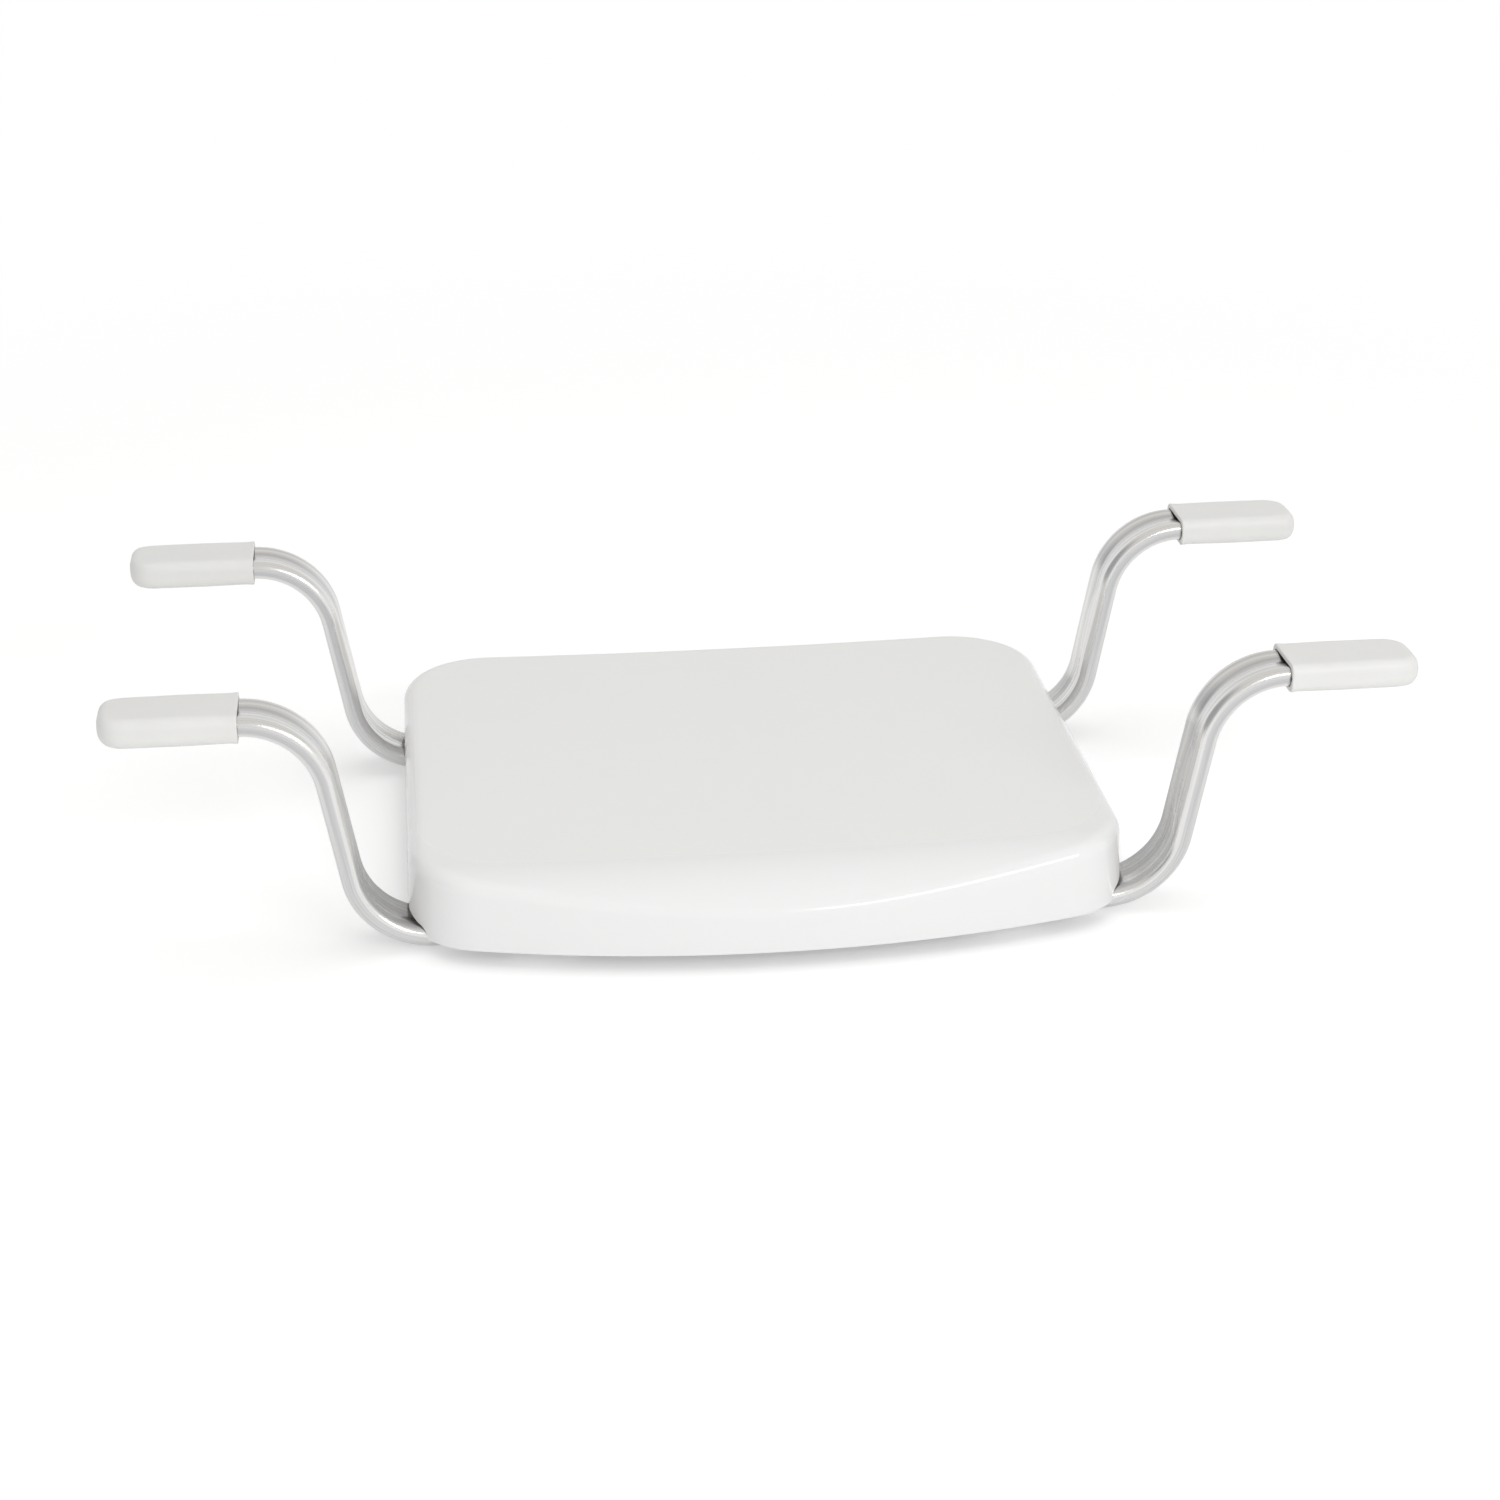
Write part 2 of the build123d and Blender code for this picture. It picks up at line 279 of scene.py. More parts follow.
# ---- shader effects ---------------------------------------------------------------------
class NodeGraph:
    """Short ways to place and join shader nodes in one tree."""

    def __init__(self, tree: bpy.types.NodeTree) -> None:
        """Work in one node tree.

        Args:
            tree: A material's tree or a group's.
        """
        self.tree = tree

    def add(self, kind: str, **settings: object) -> bpy.types.Node:
        """Add a node.

        Args:
            kind: The node's type name.
            **settings: Its settings, and the values of its inputs by socket name.

        Returns:
            The node.
        """
        node = self.tree.nodes.new(kind)
        for key, value in settings.items():
            if hasattr(node, key):
                setattr(node, key, value)
            else:
                node.inputs[key.replace("_", " ")].default_value = value
        return node

    def join(self, source: bpy.types.NodeSocket, target: bpy.types.NodeSocket) -> None:
        """Link two sockets."""
        self.tree.links.new(source, target)

    def maths(self, operation: str, first: object, second: object = 0.5) -> bpy.types.NodeSocket:
        """Add a Math node.

        Args:
            operation: What it works out.
            first: A socket or a number.
            second: A socket or a number.

        Returns:
            Its output.
        """
        node = self.tree.nodes.new("ShaderNodeMath")
        node.operation = operation
        for socket, value in zip(node.inputs, (first, second)):
            if isinstance(value, (int, float)):
                socket.default_value = value
            else:
                self.join(value, socket)
        return node.outputs[0]

    def blend(self, factor: object, low: object, high: object, colour: bool = False) -> bpy.types.NodeSocket:
        """Add a Mix node.

        Args:
            factor: A socket or a number.
            low: The value or colour at 0.
            high: The value or colour at 1.
            colour: Whether it mixes colours.

        Returns:
            Its output.
        """
        node = self.tree.nodes.new("ShaderNodeMix")
        node.data_type = "RGBA" if colour else "FLOAT"
        kind = "RGBA" if colour else "VALUE"
        ends = [s for s in node.inputs if s.type == kind and s.name in ("A", "B")]
        for socket, value in zip([node.inputs[0], *ends], (factor, low, high)):
            if isinstance(value, bpy.types.NodeSocket):
                self.join(value, socket)
            else:
                socket.default_value = value
        return next(s for s in node.outputs if s.type == kind)

    def ramp(self, value: bpy.types.NodeSocket, low: float, high: float) -> bpy.types.NodeSocket:
        """Add a smooth step from 0 to 1.

        Args:
            value: The socket that it follows.
            low: Where it is 0.
            high: Where it is 1.

        Returns:
            Its output.
        """
        node = self.add("ShaderNodeMapRange", interpolation_type="SMOOTHSTEP")
        node.inputs["From Min"].default_value = low
        node.inputs["From Max"].default_value = high
        self.join(value, node.inputs["Value"])
        return node.outputs["Result"]


def shader_group(name: str, inputs: dict[str, tuple[str, object]], outputs: dict[str, str]) -> tuple[
    bpy.types.NodeTree, NodeGraph, bpy.types.Node, bpy.types.Node
]:
    """Start a shader node group.

    Args:
        name: The group's name.
        inputs: Its inputs: a socket kind and a default value by name.
        outputs: Its outputs: a socket kind by name.

    Returns:
        The group, a graph to work in, and its input and output nodes.
    """
    tree = bpy.data.node_groups.new(name, "ShaderNodeTree")
    for label, (kind, value) in inputs.items():
        socket = tree.interface.new_socket(name=label, in_out="INPUT", socket_type=kind)
        if value is not None:
            socket.default_value = value
    for label, kind in outputs.items():
        tree.interface.new_socket(name=label, in_out="OUTPUT", socket_type=kind)
    graph = NodeGraph(tree)
    return tree, graph, graph.add("NodeGroupInput"), graph.add("NodeGroupOutput")


FLOAT = "NodeSocketFloat"
VECTOR = "NodeSocketVector"


class Effects:
    """The surface effects that several finishes share, each a node group built once."""

    def __init__(self) -> None:
        """Build the groups."""
        self.grain = self.build_grain()
        self.mottle = self.build_mottle()
        self.drawn = self.build_drawn()

    @staticmethod
    def build_grain() -> bpy.types.NodeTree:
        """Build the fine grain of a textured mould.

        Returns:
            The group, which gives a height from 0 to 1.
        """
        tree, graph, source, sink = shader_group(
            "mould_grain", {"Place": (VECTOR, None), "Size": (FLOAT, 1000.0)}, {"Height": FLOAT}
        )
        coarse = graph.add("ShaderNodeTexNoise", Detail=2.0, Roughness=0.6)
        pits = graph.add("ShaderNodeTexVoronoi", feature="SMOOTH_F1", Smoothness=0.6)
        for node in (coarse, pits):
            graph.join(source.outputs["Place"], node.inputs["Vector"])
            graph.join(source.outputs["Size"], node.inputs["Scale"])
        mixed = graph.blend(0.45, coarse.outputs["Fac"], pits.outputs["Distance"])
        graph.join(mixed, sink.inputs["Height"])
        return tree

    @staticmethod
    def build_mottle() -> bpy.types.NodeTree:
        """Build a slow change over a surface, such as flow marks and handling.

        Returns:
            The group, which gives a value of about 0 to 1.
        """
        tree, graph, source, sink = shader_group(
            "slow_mottle",
            {"Place": (VECTOR, None), "Size": (FLOAT, 20.0), "Contrast": (FLOAT, 1.0)},
            {"Value": FLOAT},
        )
        cloud = graph.add("ShaderNodeTexNoise", Detail=4.0, Roughness=0.55, Distortion=0.4)
        graph.join(source.outputs["Place"], cloud.inputs["Vector"])
        graph.join(source.outputs["Size"], cloud.inputs["Scale"])
        centred = graph.maths("SUBTRACT", cloud.outputs["Fac"], 0.5)
        spread = graph.maths("MULTIPLY", centred, source.outputs["Contrast"])
        graph.join(graph.maths("ADD", spread, 0.5), sink.inputs["Value"])
        return tree

    @staticmethod
    def build_drawn() -> bpy.types.NodeTree:
        """Build the lines along a drawn tube, which the tube's colour also uses for painted reflection
        streaks.

        Returns:
            The group, which reads the length along the tube and the place in its section.
        """
        tree, graph, source, sink = shader_group(
            "drawn_lines_and_painted_streaks",
            {"Drawn": (VECTOR, None), "Lines": (FLOAT, 900.0), "Stretch": (FLOAT, 0.02)},
            {"Fine": FLOAT, "Broad": FLOAT},
        )
        split = graph.add("ShaderNodeSeparateXYZ")
        graph.join(source.outputs["Drawn"], split.inputs[0])
        along = graph.maths("MULTIPLY", split.outputs["X"], source.outputs["Stretch"])
        pulled = graph.add("ShaderNodeCombineXYZ")
        graph.join(along, pulled.inputs["X"])
        graph.join(split.outputs["Y"], pulled.inputs["Y"])
        graph.join(split.outputs["Z"], pulled.inputs["Z"])
        for label, share in (("Fine", 1.0), ("Broad", 0.22)):
            lines = graph.add("ShaderNodeTexNoise", Detail=3.0, Roughness=0.65)
            graph.join(pulled.outputs[0], lines.inputs["Vector"])
            graph.join(graph.maths("MULTIPLY", source.outputs["Lines"], share), lines.inputs["Scale"])
            graph.join(lines.outputs["Fac"], sink.inputs[label])
        return tree


class Surface:
    """A material in the making: its graph, its Principled shader and its coordinates."""

    def __init__(self, name: str, **constants: object) -> None:
        """Start a material.

        Args:
            name: The material's name.
            **constants: Values set on the shader's own sockets, by socket name.
        """
        self.material = bpy.data.materials.new(name)
        self.material.use_nodes = True
        self.graph = NodeGraph(self.material.node_tree)
        self.shader = self.material.node_tree.nodes["Principled BSDF"]
        for key, value in constants.items():
            self.shader.inputs[key.replace("_", " ")].default_value = value
        self.place = self.graph.add("ShaderNodeTexCoord").outputs["Object"]

    def effect(self, tree: bpy.types.NodeTree, place: bpy.types.NodeSocket | None = None,
               **values: float) -> bpy.types.Node:
        """Place an effect group.

        Args:
            tree: The group.
            place: The coordinates that it reads, or the piece's own.
            **values: The values of its other inputs.

        Returns:
            The group's node.
        """
        node = self.graph.add("ShaderNodeGroup", node_tree=tree)
        self.graph.join(place or self.place, node.inputs[0])
        for key, value in values.items():
            node.inputs[key].default_value = value
        return node

    def feed(self, socket: str, value: bpy.types.NodeSocket) -> None:
        """Link a value to one of the shader's sockets."""
        self.graph.join(value, self.shader.inputs[socket])

    def roughness(self, value: bpy.types.NodeSocket, low: float, high: float) -> None:
        """Let roughness follow a value between two levels."""
        self.feed("Roughness", self.graph.blend(value, low, high))

    def bump(self, height: bpy.types.NodeSocket, depth: float, strength: float = 1.0) -> None:
        """Let a height move the shading, on top of any bump that is there.

        Args:
            height: A height from 0 to 1.
            depth: What 1 stands for, in metres.
            strength: How much of it shows.
        """
        node = self.graph.add("ShaderNodeBump", Distance=depth, Strength=strength)
        self.graph.join(height, node.inputs["Height"])
        normal = self.shader.inputs["Normal"]
        if normal.is_linked:
            self.graph.join(normal.links[0].from_socket, node.inputs["Normal"])
        self.graph.join(node.outputs["Normal"], normal)


# ---- finishes ------------------------------------------------------------------------------
@dataclass(frozen=True)
class SeatPlastic:
    """White moulded plastic: glossy all round, with a fine-grained matt seat panel."""

    gloss_colour: tuple = (0.860, 0.860, 0.862, 1.0)
    panel_colour: tuple = (0.880, 0.880, 0.868, 1.0)
    gloss_roughness: float = 0.09
    panel_roughness: float = 0.52
    grain_size: float = 1150.0
    grain_depth: float = 0.06 * MM
    border: float = 3.5 * MM
    flow_tint: float = 0.985
    grain_fade: float = 4.0

    def make(self, effects: Effects, seat: "SeatShell") -> bpy.types.Material:
        """Make the material.

        Args:
            effects: The shared effects.
            seat: The seat, whose panel it masks.

        Returns:
            The material.
        """
        surface = Surface("seat_plastic", IOR=1.49, Specular_IOR_Level=0.5)
        graph = surface.graph
        mask = self.panel_mask(surface, seat)
        mottle = surface.effect(effects.mottle, Size=26.0, Contrast=1.0).outputs["Value"]
        grain = surface.effect(effects.grain, Size=self.grain_size).outputs["Height"]
        body = graph.blend(mask, self.gloss_colour, self.panel_colour, colour=True)
        tint = tuple(self.flow_tint * c for c in self.panel_colour[:3]) + (1.0,)
        flow = graph.maths("MULTIPLY", mottle, mask)
        surface.feed("Base Color", graph.blend(flow, body, tint, colour=True))
        gloss = graph.blend(mottle, 0.8 * self.gloss_roughness, 1.2 * self.gloss_roughness)
        matt = graph.blend(grain, 0.92 * self.panel_roughness, 1.08 * self.panel_roughness)
        surface.feed("Roughness", graph.blend(mask, gloss, matt))
        well_inside = graph.maths("POWER", mask, self.grain_fade)
        surface.bump(graph.maths("MULTIPLY", grain, well_inside), self.grain_depth)
        return surface.material

    def panel_mask(self, surface: Surface, seat: "SeatShell") -> bpy.types.NodeSocket:
        """Work out a mask that is 1 on the seat panel.

        Args:
            surface: The material in the making.
            seat: The seat.

        Returns:
            The mask's socket.
        """
        graph = surface.graph
        split = graph.add("ShaderNodeSeparateXYZ")
        graph.join(surface.place, split.inputs[0])
        half = (seat.panel_back - seat.panel_front) / 2
        middle = (seat.panel_back + seat.panel_front) / 2
        across = graph.maths("ABSOLUTE", split.outputs["X"])
        along = graph.maths("ABSOLUTE", graph.maths("SUBTRACT", split.outputs["Y"], middle))
        out_x = graph.maths("SUBTRACT", across, seat.panel_half_width - seat.panel_corner)
        out_y = graph.maths("SUBTRACT", along, half - seat.panel_corner)
        far_x = graph.maths("MAXIMUM", out_x, 0.0)
        far_y = graph.maths("MAXIMUM", out_y, 0.0)
        squared = graph.maths(
            "ADD", graph.maths("MULTIPLY", far_x, far_x), graph.maths("MULTIPLY", far_y, far_y)
        )
        reach = graph.maths("SQRT", squared)
        inside = graph.ramp(reach, seat.panel_corner + self.border, seat.panel_corner - self.border)
        top = graph.ramp(split.outputs["Z"], seat.skin_low, seat.skin_low + 2 * MM)
        return graph.maths("MULTIPLY", inside, top)


@dataclass(frozen=True)
class TubeAluminium:
    """Satin drawn aluminium: fine lines along the tube over slower streaks, in tones spread wide so that the
    colour also carries painted reflection streaks.
    """

    # dark and light are spread wider than drawn metal's own tone, so the colour also holds painted
    # reflection streaks along the tube.
    dark: tuple = (0.480, 0.482, 0.495, 1.0)
    light: tuple = (0.820, 0.812, 0.795, 1.0)
    low_roughness: float = 0.18
    high_roughness: float = 0.34
    line_depth: float = 0.04 * MM
    line_density: float = 850.0
    line_stretch: float = 0.012

    def make(self, effects: Effects) -> bpy.types.Material:
        """Make the material, which reads each arm's own drawn attribute.

        Args:
            effects: The shared effects.

        Returns:
            The material.
        """
        surface = Surface("tube_aluminium", Metallic=1.0)
        graph = surface.graph
        drawn = graph.add("ShaderNodeAttribute", attribute_name="drawn").outputs["Vector"]
        lines = surface.effect(effects.drawn, drawn, Lines=self.line_density, Stretch=self.line_stretch)
        mottle = surface.effect(effects.mottle, Size=60.0, Contrast=1.4).outputs["Value"]
        fine, broad = lines.outputs["Fine"], lines.outputs["Broad"]
        # The drawn lines choose the colour between dark and light: real drawn lines, partly painted
        # reflection streaks.
        shade = graph.blend(0.35, graph.ramp(broad, 0.3, 0.7), graph.ramp(fine, 0.25, 0.75))
        surface.feed("Base Color", graph.blend(shade, self.dark, self.light, colour=True))
        worn = graph.blend(0.4, fine, mottle)
        surface.roughness(worn, self.low_roughness, self.high_roughness)
        surface.bump(fine, self.line_depth)
        return surface.material


@dataclass(frozen=True)
class GripVinyl:
    """Soft white vinyl: satin, faintly uneven, with a trace of mould grain."""

    colour: tuple = (0.815, 0.813, 0.800, 1.0)
    shade: tuple = (0.785, 0.780, 0.765, 1.0)
    low_roughness: float = 0.40
    high_roughness: float = 0.56
    grain_size: float = 900.0
    grain_depth: float = 0.03 * MM
    unevenness: float = 0.25 * MM

    def make(self, effects: Effects) -> bpy.types.Material:
        """Make the material.

        Args:
            effects: The shared effects.

        Returns:
            The material.
        """
        surface = Surface("grip_vinyl", IOR=1.52, Sheen_Weight=0.08, Sheen_Roughness=0.4)
        graph = surface.graph
        mottle = surface.effect(effects.mottle, Size=55.0, Contrast=1.5).outputs["Value"]
        grain = surface.effect(effects.grain, Size=self.grain_size).outputs["Height"]
        surface.feed("Base Color", graph.blend(mottle, self.shade, self.colour, colour=True))
        surface.roughness(mottle, self.low_roughness, self.high_roughness)
        surface.bump(grain, self.grain_depth)
        surface.bump(mottle, self.unevenness, 0.6)
        return surface.material


@dataclass(frozen=True)
class PlainFinish:
    """A finish with one grain and one slow mottle, for the hardware under the seat."""

    name: str
    dark: tuple
    light: tuple
    roughness: tuple
    metallic: float = 0.0
    grain_size: float = 900.0
    grain_depth: float = 0.04 * MM
    brush: tuple = (1.0, 1.0, 1.0)

    def make(self, effects: Effects) -> bpy.types.Material:
        """Make the material.

        Args:
            effects: The shared effects.

        Returns:
            The material.
        """
        surface = Surface(self.name, Metallic=self.metallic)
        graph = surface.graph
        pulled = graph.add("ShaderNodeMapping", Scale=self.brush)
        graph.join(surface.place, pulled.inputs["Vector"])
        grain = surface.effect(effects.grain, pulled.outputs["Vector"], Size=self.grain_size)
        mottle = surface.effect(effects.mottle, Size=90.0, Contrast=1.3).outputs["Value"]
        height = grain.outputs["Height"]
        mixed = graph.blend(0.5, height, mottle)
        surface.feed("Base Color", graph.blend(mixed, self.dark, self.light, colour=True))
        surface.roughness(mixed, *self.roughness)
        surface.bump(height, self.grain_depth)
        return surface.material


# ---- the seat ---------------------------------------------------------------------------------
@dataclass
class SeatShell:
    """The moulded seat: a dished top that rolls over at the front, on a drafted wall."""

    wall: float = 3.2 * MM
    draft: float = math.radians(3.0)
    bow_radius: float = 682 * MM
    front_corner: float = 49 * MM
    back_corner: float = 57 * MM
    dish_depth: float = 3 * MM
    roll_radius: float = 62 * MM
    roll_reach: float = 44 * MM
    top_round: float = 9 * MM
    fillet_steps: int = 9
    bow_steps: int = 72
    front_corner_steps: int = 18
    side_steps: int = 52
    back_corner_steps: int = 22
    back_steps: int = 64
    border_steps: int = 2
    border_pitch: float = 3 * MM
    grid: float = 4 * MM
    rim_height: float = 44 * MM
    skin_drop: float = 21 * MM
    top_inset: float = 1.9 * MM
    panel_half_width: float = 199 * MM
    panel_front: float = -133 * MM
    panel_back: float = 171 * MM
    panel_corner: float = 50 * MM
    panel_sink: float = 0.05 * MM
    notch_clear: float = 1 * MM
    rib_wall: float = 2.4 * MM
    rib_pitch: float = 30 * MM
    rib_start: float = 44 * MM
    rib_count: int = 6
    rib_step: float = 5 * MM
    bed_half_width: float = 23 * MM
    bed_clear: float = 0.3 * MM
    shallow_pitch: float = 62 * MM
    shallow_depth: float = 5 * MM
    boss_radius: float = 7.8 * MM
    boss_hole: float = 4.2 * MM
    boss_hole_depth: float = 12 * MM
    boss_chamfer: float = 0.6 * MM
    boss_steps: int = 32
    arm_line: float = 120 * MM
    knob_offset: float = 35 * MM
    screw_offset: float = 29 * MM
    saddle_x: float = 130 * MM

    def __post_init__(self) -> None:
        """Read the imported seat's box and work out the plan."""
        low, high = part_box("seat_shell")
        self.half_width = high.x
        self.half_depth = high.y
        self.skirt = low.z
        self.rim = self.skirt + self.rim_height
        self.dish_radius = (self.half_width**2 + self.dish_depth**2) / (2 * self.dish_depth)
        self.bow_centre = self.bow_radius - self.half_depth
        self.front_x = self.half_width - self.front_corner
        reach = self.bow_radius - self.front_corner
        self.front_y = self.bow_centre - math.sqrt(reach**2 - self.front_x**2)
        self.bow_swing = math.asin(self.front_x / reach)
        self.back_x = self.half_width - self.back_corner
        self.back_y = self.half_depth - self.back_corner
        self.roll_start = self.roll_reach - self.half_depth
        self.skin_low = self.rim - self.skin_drop

    def outline(self, bm: BMesh, inset: float) -> Ring:
        """Draw the plan outline at the skirt.

        Args:
            bm: The mesh it is drawn in.
            inset: How far it is moved in.

        Returns:
            The ring's vertices in order, from the left end of the front bow.
        """
        def at(x: float, y: float) -> Vector:
            """A place at the skirt's height."""
            return Vector((x, y, self.skirt))

        bow = self.bow_radius - inset
        side = self.half_width - inset
        back = self.half_depth - inset
        start_x = -bow * math.sin(self.bow_swing)
        start_y = self.bow_centre - bow * math.cos(self.bow_swing)
        front_turn = math.pi / 2 - self.bow_swing
        trace = Trace(bm, at(start_x, start_y))
        trace.arc(at(0, self.bow_centre), UP, 2 * self.bow_swing, self.bow_steps)
        trace.arc(at(self.front_x, self.front_y), UP, front_turn, self.front_corner_steps)
        trace.line(at(side, self.back_y), self.side_steps)
        trace.arc(at(self.back_x, self.back_y), UP, math.pi / 2, self.back_corner_steps)
        trace.line(at(-self.back_x, back), self.back_steps)
        trace.arc(at(-self.back_x, self.back_y), UP, math.pi / 2, self.back_corner_steps)
        trace.line(at(-side, self.front_y), self.side_steps)
        trace.arc(at(-self.front_x, self.front_y), UP, front_turn, self.front_corner_steps)
        return trace.close()

    def inset_at(self, x: float, y: float) -> float:
        """Measure how far a point lies in from the plan outline.

        Args:
            x: The place across.
            y: The place from front to back.

        Returns:
            The distance, which is negative outside.
        """
        x = abs(x)
        if x > self.back_x and y > self.back_y:
            return self.back_corner - math.hypot(x - self.back_x, y - self.back_y)
        if x > self.front_x and y < self.front_y:
            return self.front_corner - math.hypot(x - self.front_x, y - self.front_y)
        bow = self.bow_radius - math.hypot(x, y - self.bow_centre)
        return min(self.half_width - x, self.half_depth - y, bow)

    def top_at(self, x: float, y: float) -> float:
        """Find the dished and rolled top, before its edge is rounded.

        Args:
            x: The place across.
            y: The place from front to back.

        Returns:
            Its height.
        """
        dish = self.dish_radius - math.sqrt(self.dish_radius**2 - x**2)
        run = max(self.roll_start - y, 0.0)
        roll = self.roll_radius - math.sqrt(self.roll_radius**2 - run**2)
        return self.rim - self.dish_depth + dish - roll

    def skin_at(self, x: float, y: float) -> float:
        """Find the outer skin, with its rounded edge.

        Args:
            x: The place across.
            y: The place from front to back.

        Returns:
            Its height.
        """
        short = self.top_round - max(self.inset_at(x, y) - self.top_inset, 0.0)
        if short <= 0:
            return self.top_at(x, y)
        return self.top_at(x, y) - self.top_round + math.sqrt(self.top_round**2 - short**2)

    def panel_at(self, x: float, y: float) -> float:
        """Find how far the panel is let in.

        Args:
            x: The place across.
            y: The place from front to back.

        Returns:
            The depth below the plain top.
        """
        middle = (self.panel_back + self.panel_front) / 2
        half = (self.panel_back - self.panel_front) / 2
        out_x = max(abs(x) - self.panel_half_width + self.panel_corner, 0.0)
        out_y = max(abs(y - middle) - half + self.panel_corner, 0.0)
        inside = self.panel_corner - math.hypot(out_x, out_y)
        share = min(max(inside / (4 * MM) + 0.5, 0.0), 1.0)
        return self.panel_sink * share * share * (3 - 2 * share)

    def build(self) -> bpy.types.Object:
        """Build the shell with its ribs and bosses.

        Returns:
            The shell.
        """
        bm = bmesh.new()
        foot = self.outline(bm, 0.0)
        inner = self.outline(bm, self.top_round)
        inward = [(b.co - a.co) / self.top_round for a, b in zip(foot, inner)]
        bmesh.ops.delete(bm, geom=inner, context="VERTS")
        ring = self.raise_wall(bm, foot, inward)
        self.fill_top(bm, ring, inward)
        bmesh.ops.recalc_face_normals(bm, faces=bm.faces)
        if max(bm.faces, key=lambda f: f.calc_center_median().z).normal.z < 0:
            bmesh.ops.reverse_faces(bm, faces=bm.faces)
        shell = finish_mesh(bm, "seat_shell_skin")
        thick = shell.modifiers.new("wall", "SOLIDIFY")
        thick.thickness = self.wall
        thick.offset = -1.0
        thick.use_even_offset = True
        self.cut_notches(shell)
        bake_modifiers(shell)
        self.add_underside(shell)
        return shell

    def raise_wall(self, bm: BMesh, foot: Ring, inward: list[Vector]) -> Ring:
        """Draw the drafted wall and the rounded top edge up from the skirt.

        Args:
            bm: The mesh.
            foot: The ring at the skirt.
            inward: The plan direction inwards at each of its vertices.

        Returns:
            The last ring, where the rounded edge meets the top.
        """
        starts = [v.co.copy() for v in foot]
        fillets = [self.fillet_at(p, n) for p, n in zip(starts, inward)]
        lean = math.tan(self.draft)

        def wall_point(number: int, share: float) -> Vector:
            """Place a point of the drafted wall.

            Args:
                number: The number of the outline's vertex.
                share: How far up the wall it lies, from 0 to 1.

            Returns:
                Its place.
            """
            centre_z = fillets[number][1]
            top = centre_z + self.top_round * math.sin(self.draft)
            z = self.skirt + share * (top - self.skirt)
            moved = starts[number] + inward[number] * lean * (z - self.skirt)
            return Vector((moved.x, moved.y, z))

        def round_point(number: int, share: float) -> Vector:
            """Place a point of the rounded edge.

            Args:
                number: The number of the outline's vertex.
                share: How far round the edge it lies, from 0 to 1.

            Returns:
                Its place.
            """
            centre_in, centre_z, end = fillets[number]
            turn = self.draft + share * (end - self.draft)
            moved = starts[number] + inward[number] * (centre_in - self.top_round * math.cos(turn))
            return Vector((moved.x, moved.y, centre_z + self.top_round * math.sin(turn)))

        ring = foot
        for share in (0.03, 0.12, 0.3, 0.5, 0.7, 0.88, 0.97, 1.0):
            ring = draw_on(bm, ring, lambda i, _, s=share: wall_point(i, s))
        for step in range(1, self.fillet_steps + 1):
            share = step / self.fillet_steps
            ring = draw_on(bm, ring, lambda i, _, s=share: round_point(i, s))
        return ring

    def fillet_at(self, start: Vector, inward: Vector) -> tuple[float, float, float]:
        """Fit the rounded top edge between the wall and the top.

        Args:
            start: The place on the outline.
            inward: The plan direction inwards there.

        Returns:
            The fillet centre's inset and height, and the angle at which it meets the top.
        """
        lean, size = math.tan(self.draft), self.top_round
        centre_z = self.rim - 2 * size
        end = math.pi / 2
        for _ in range(12):
            centre_in = lean * (centre_z - self.skirt) + size / math.cos(self.draft)
            inset = centre_in - size * math.cos(end)
            near = start + inward * (inset - 0.1 * MM)
            far = start + inward * (inset + 0.1 * MM)
            slope = math.atan2(self.top_at(far.x, far.y) - self.top_at(near.x, near.y), 0.2 * MM)
            end = math.pi / 2 - slope
            meet = start + inward * inset
            centre_z = self.top_at(meet.x, meet.y) - size * math.sin(end)
        return centre_in, centre_z, end

    def fill_top(self, bm: BMesh, ring: Ring, inward: list[Vector]) -> None:
        """Fill the top inside the rounded edge.

        Args:
            bm: The mesh.
            ring: The ring where the rounded edge meets the top.
            inward: The plan direction inwards at each vertex.
        """
        starts = [v.co.copy() for v in ring]
        for step in range(1, self.border_steps + 1):
            reach = step * self.border_pitch

            def border_point(number: int, _: Vector, reach: float = reach) -> Vector:
                """The point of the top that lies in from the rounded edge by the reach."""
                moved = starts[number] + inward[number] * reach
                return Vector((moved.x, moved.y, self.top_at(moved.x, moved.y)))

            ring = draw_on(bm, ring, border_point)
        for vert in ring:
            vert.co.z = 0.0
        geom = [bm.faces.new(ring)]
        geom += list(geom[0].edges) + list(geom[0].verts)
        cuts = [(Vector((x, 0, 0)), Vector((1, 0, 0))) for x in self.stations(self.half_width)]
        cuts += [(Vector((0, y, 0)), Vector((0, 1, 0))) for y in self.stations(self.half_depth)]
        for point, normal in cuts:
            geom = bmesh.ops.bisect_plane(bm, geom=geom, plane_co=point, plane_no=normal)["geom"]
        inside = [v for v in geom if isinstance(v, BMVert)]
        bmesh.ops.remove_doubles(bm, verts=inside, dist=0.5 * MM)
        for vert in [v for v in inside if v.is_valid]:
            vert.co.z = self.top_at(vert.co.x, vert.co.y) - self.panel_at(vert.co.x, vert.co.y)

    def stations(self, half: float) -> list[float]:
        """Evenly spaced cuts across a span from -half to half."""
        count = round(2 * half / self.grid)
        return [half * (2 * i / count - 1) for i in range(1, count)]

    def cut_notches(self, shell: bpy.types.Object) -> None:
        """Cut the four notches that the arms pass through, shaped round the arms.

        Args:
            shell: The seat's skin.
        """
        bm = bmesh.new()
        for corner in Corner:
            BentArm(corner).sheathe(bm, self.half_width - self.front_corner, self.notch_clear)
        cutter = finish_mesh(bm, "notch_cutter")
        cut = shell.modifiers.new("notches", "BOOLEAN")
        cut.operation = "DIFFERENCE"
        cut.solver = "EXACT"
        cut.object = cutter
        bake_modifiers(shell)
        bpy.data.objects.remove(cutter)

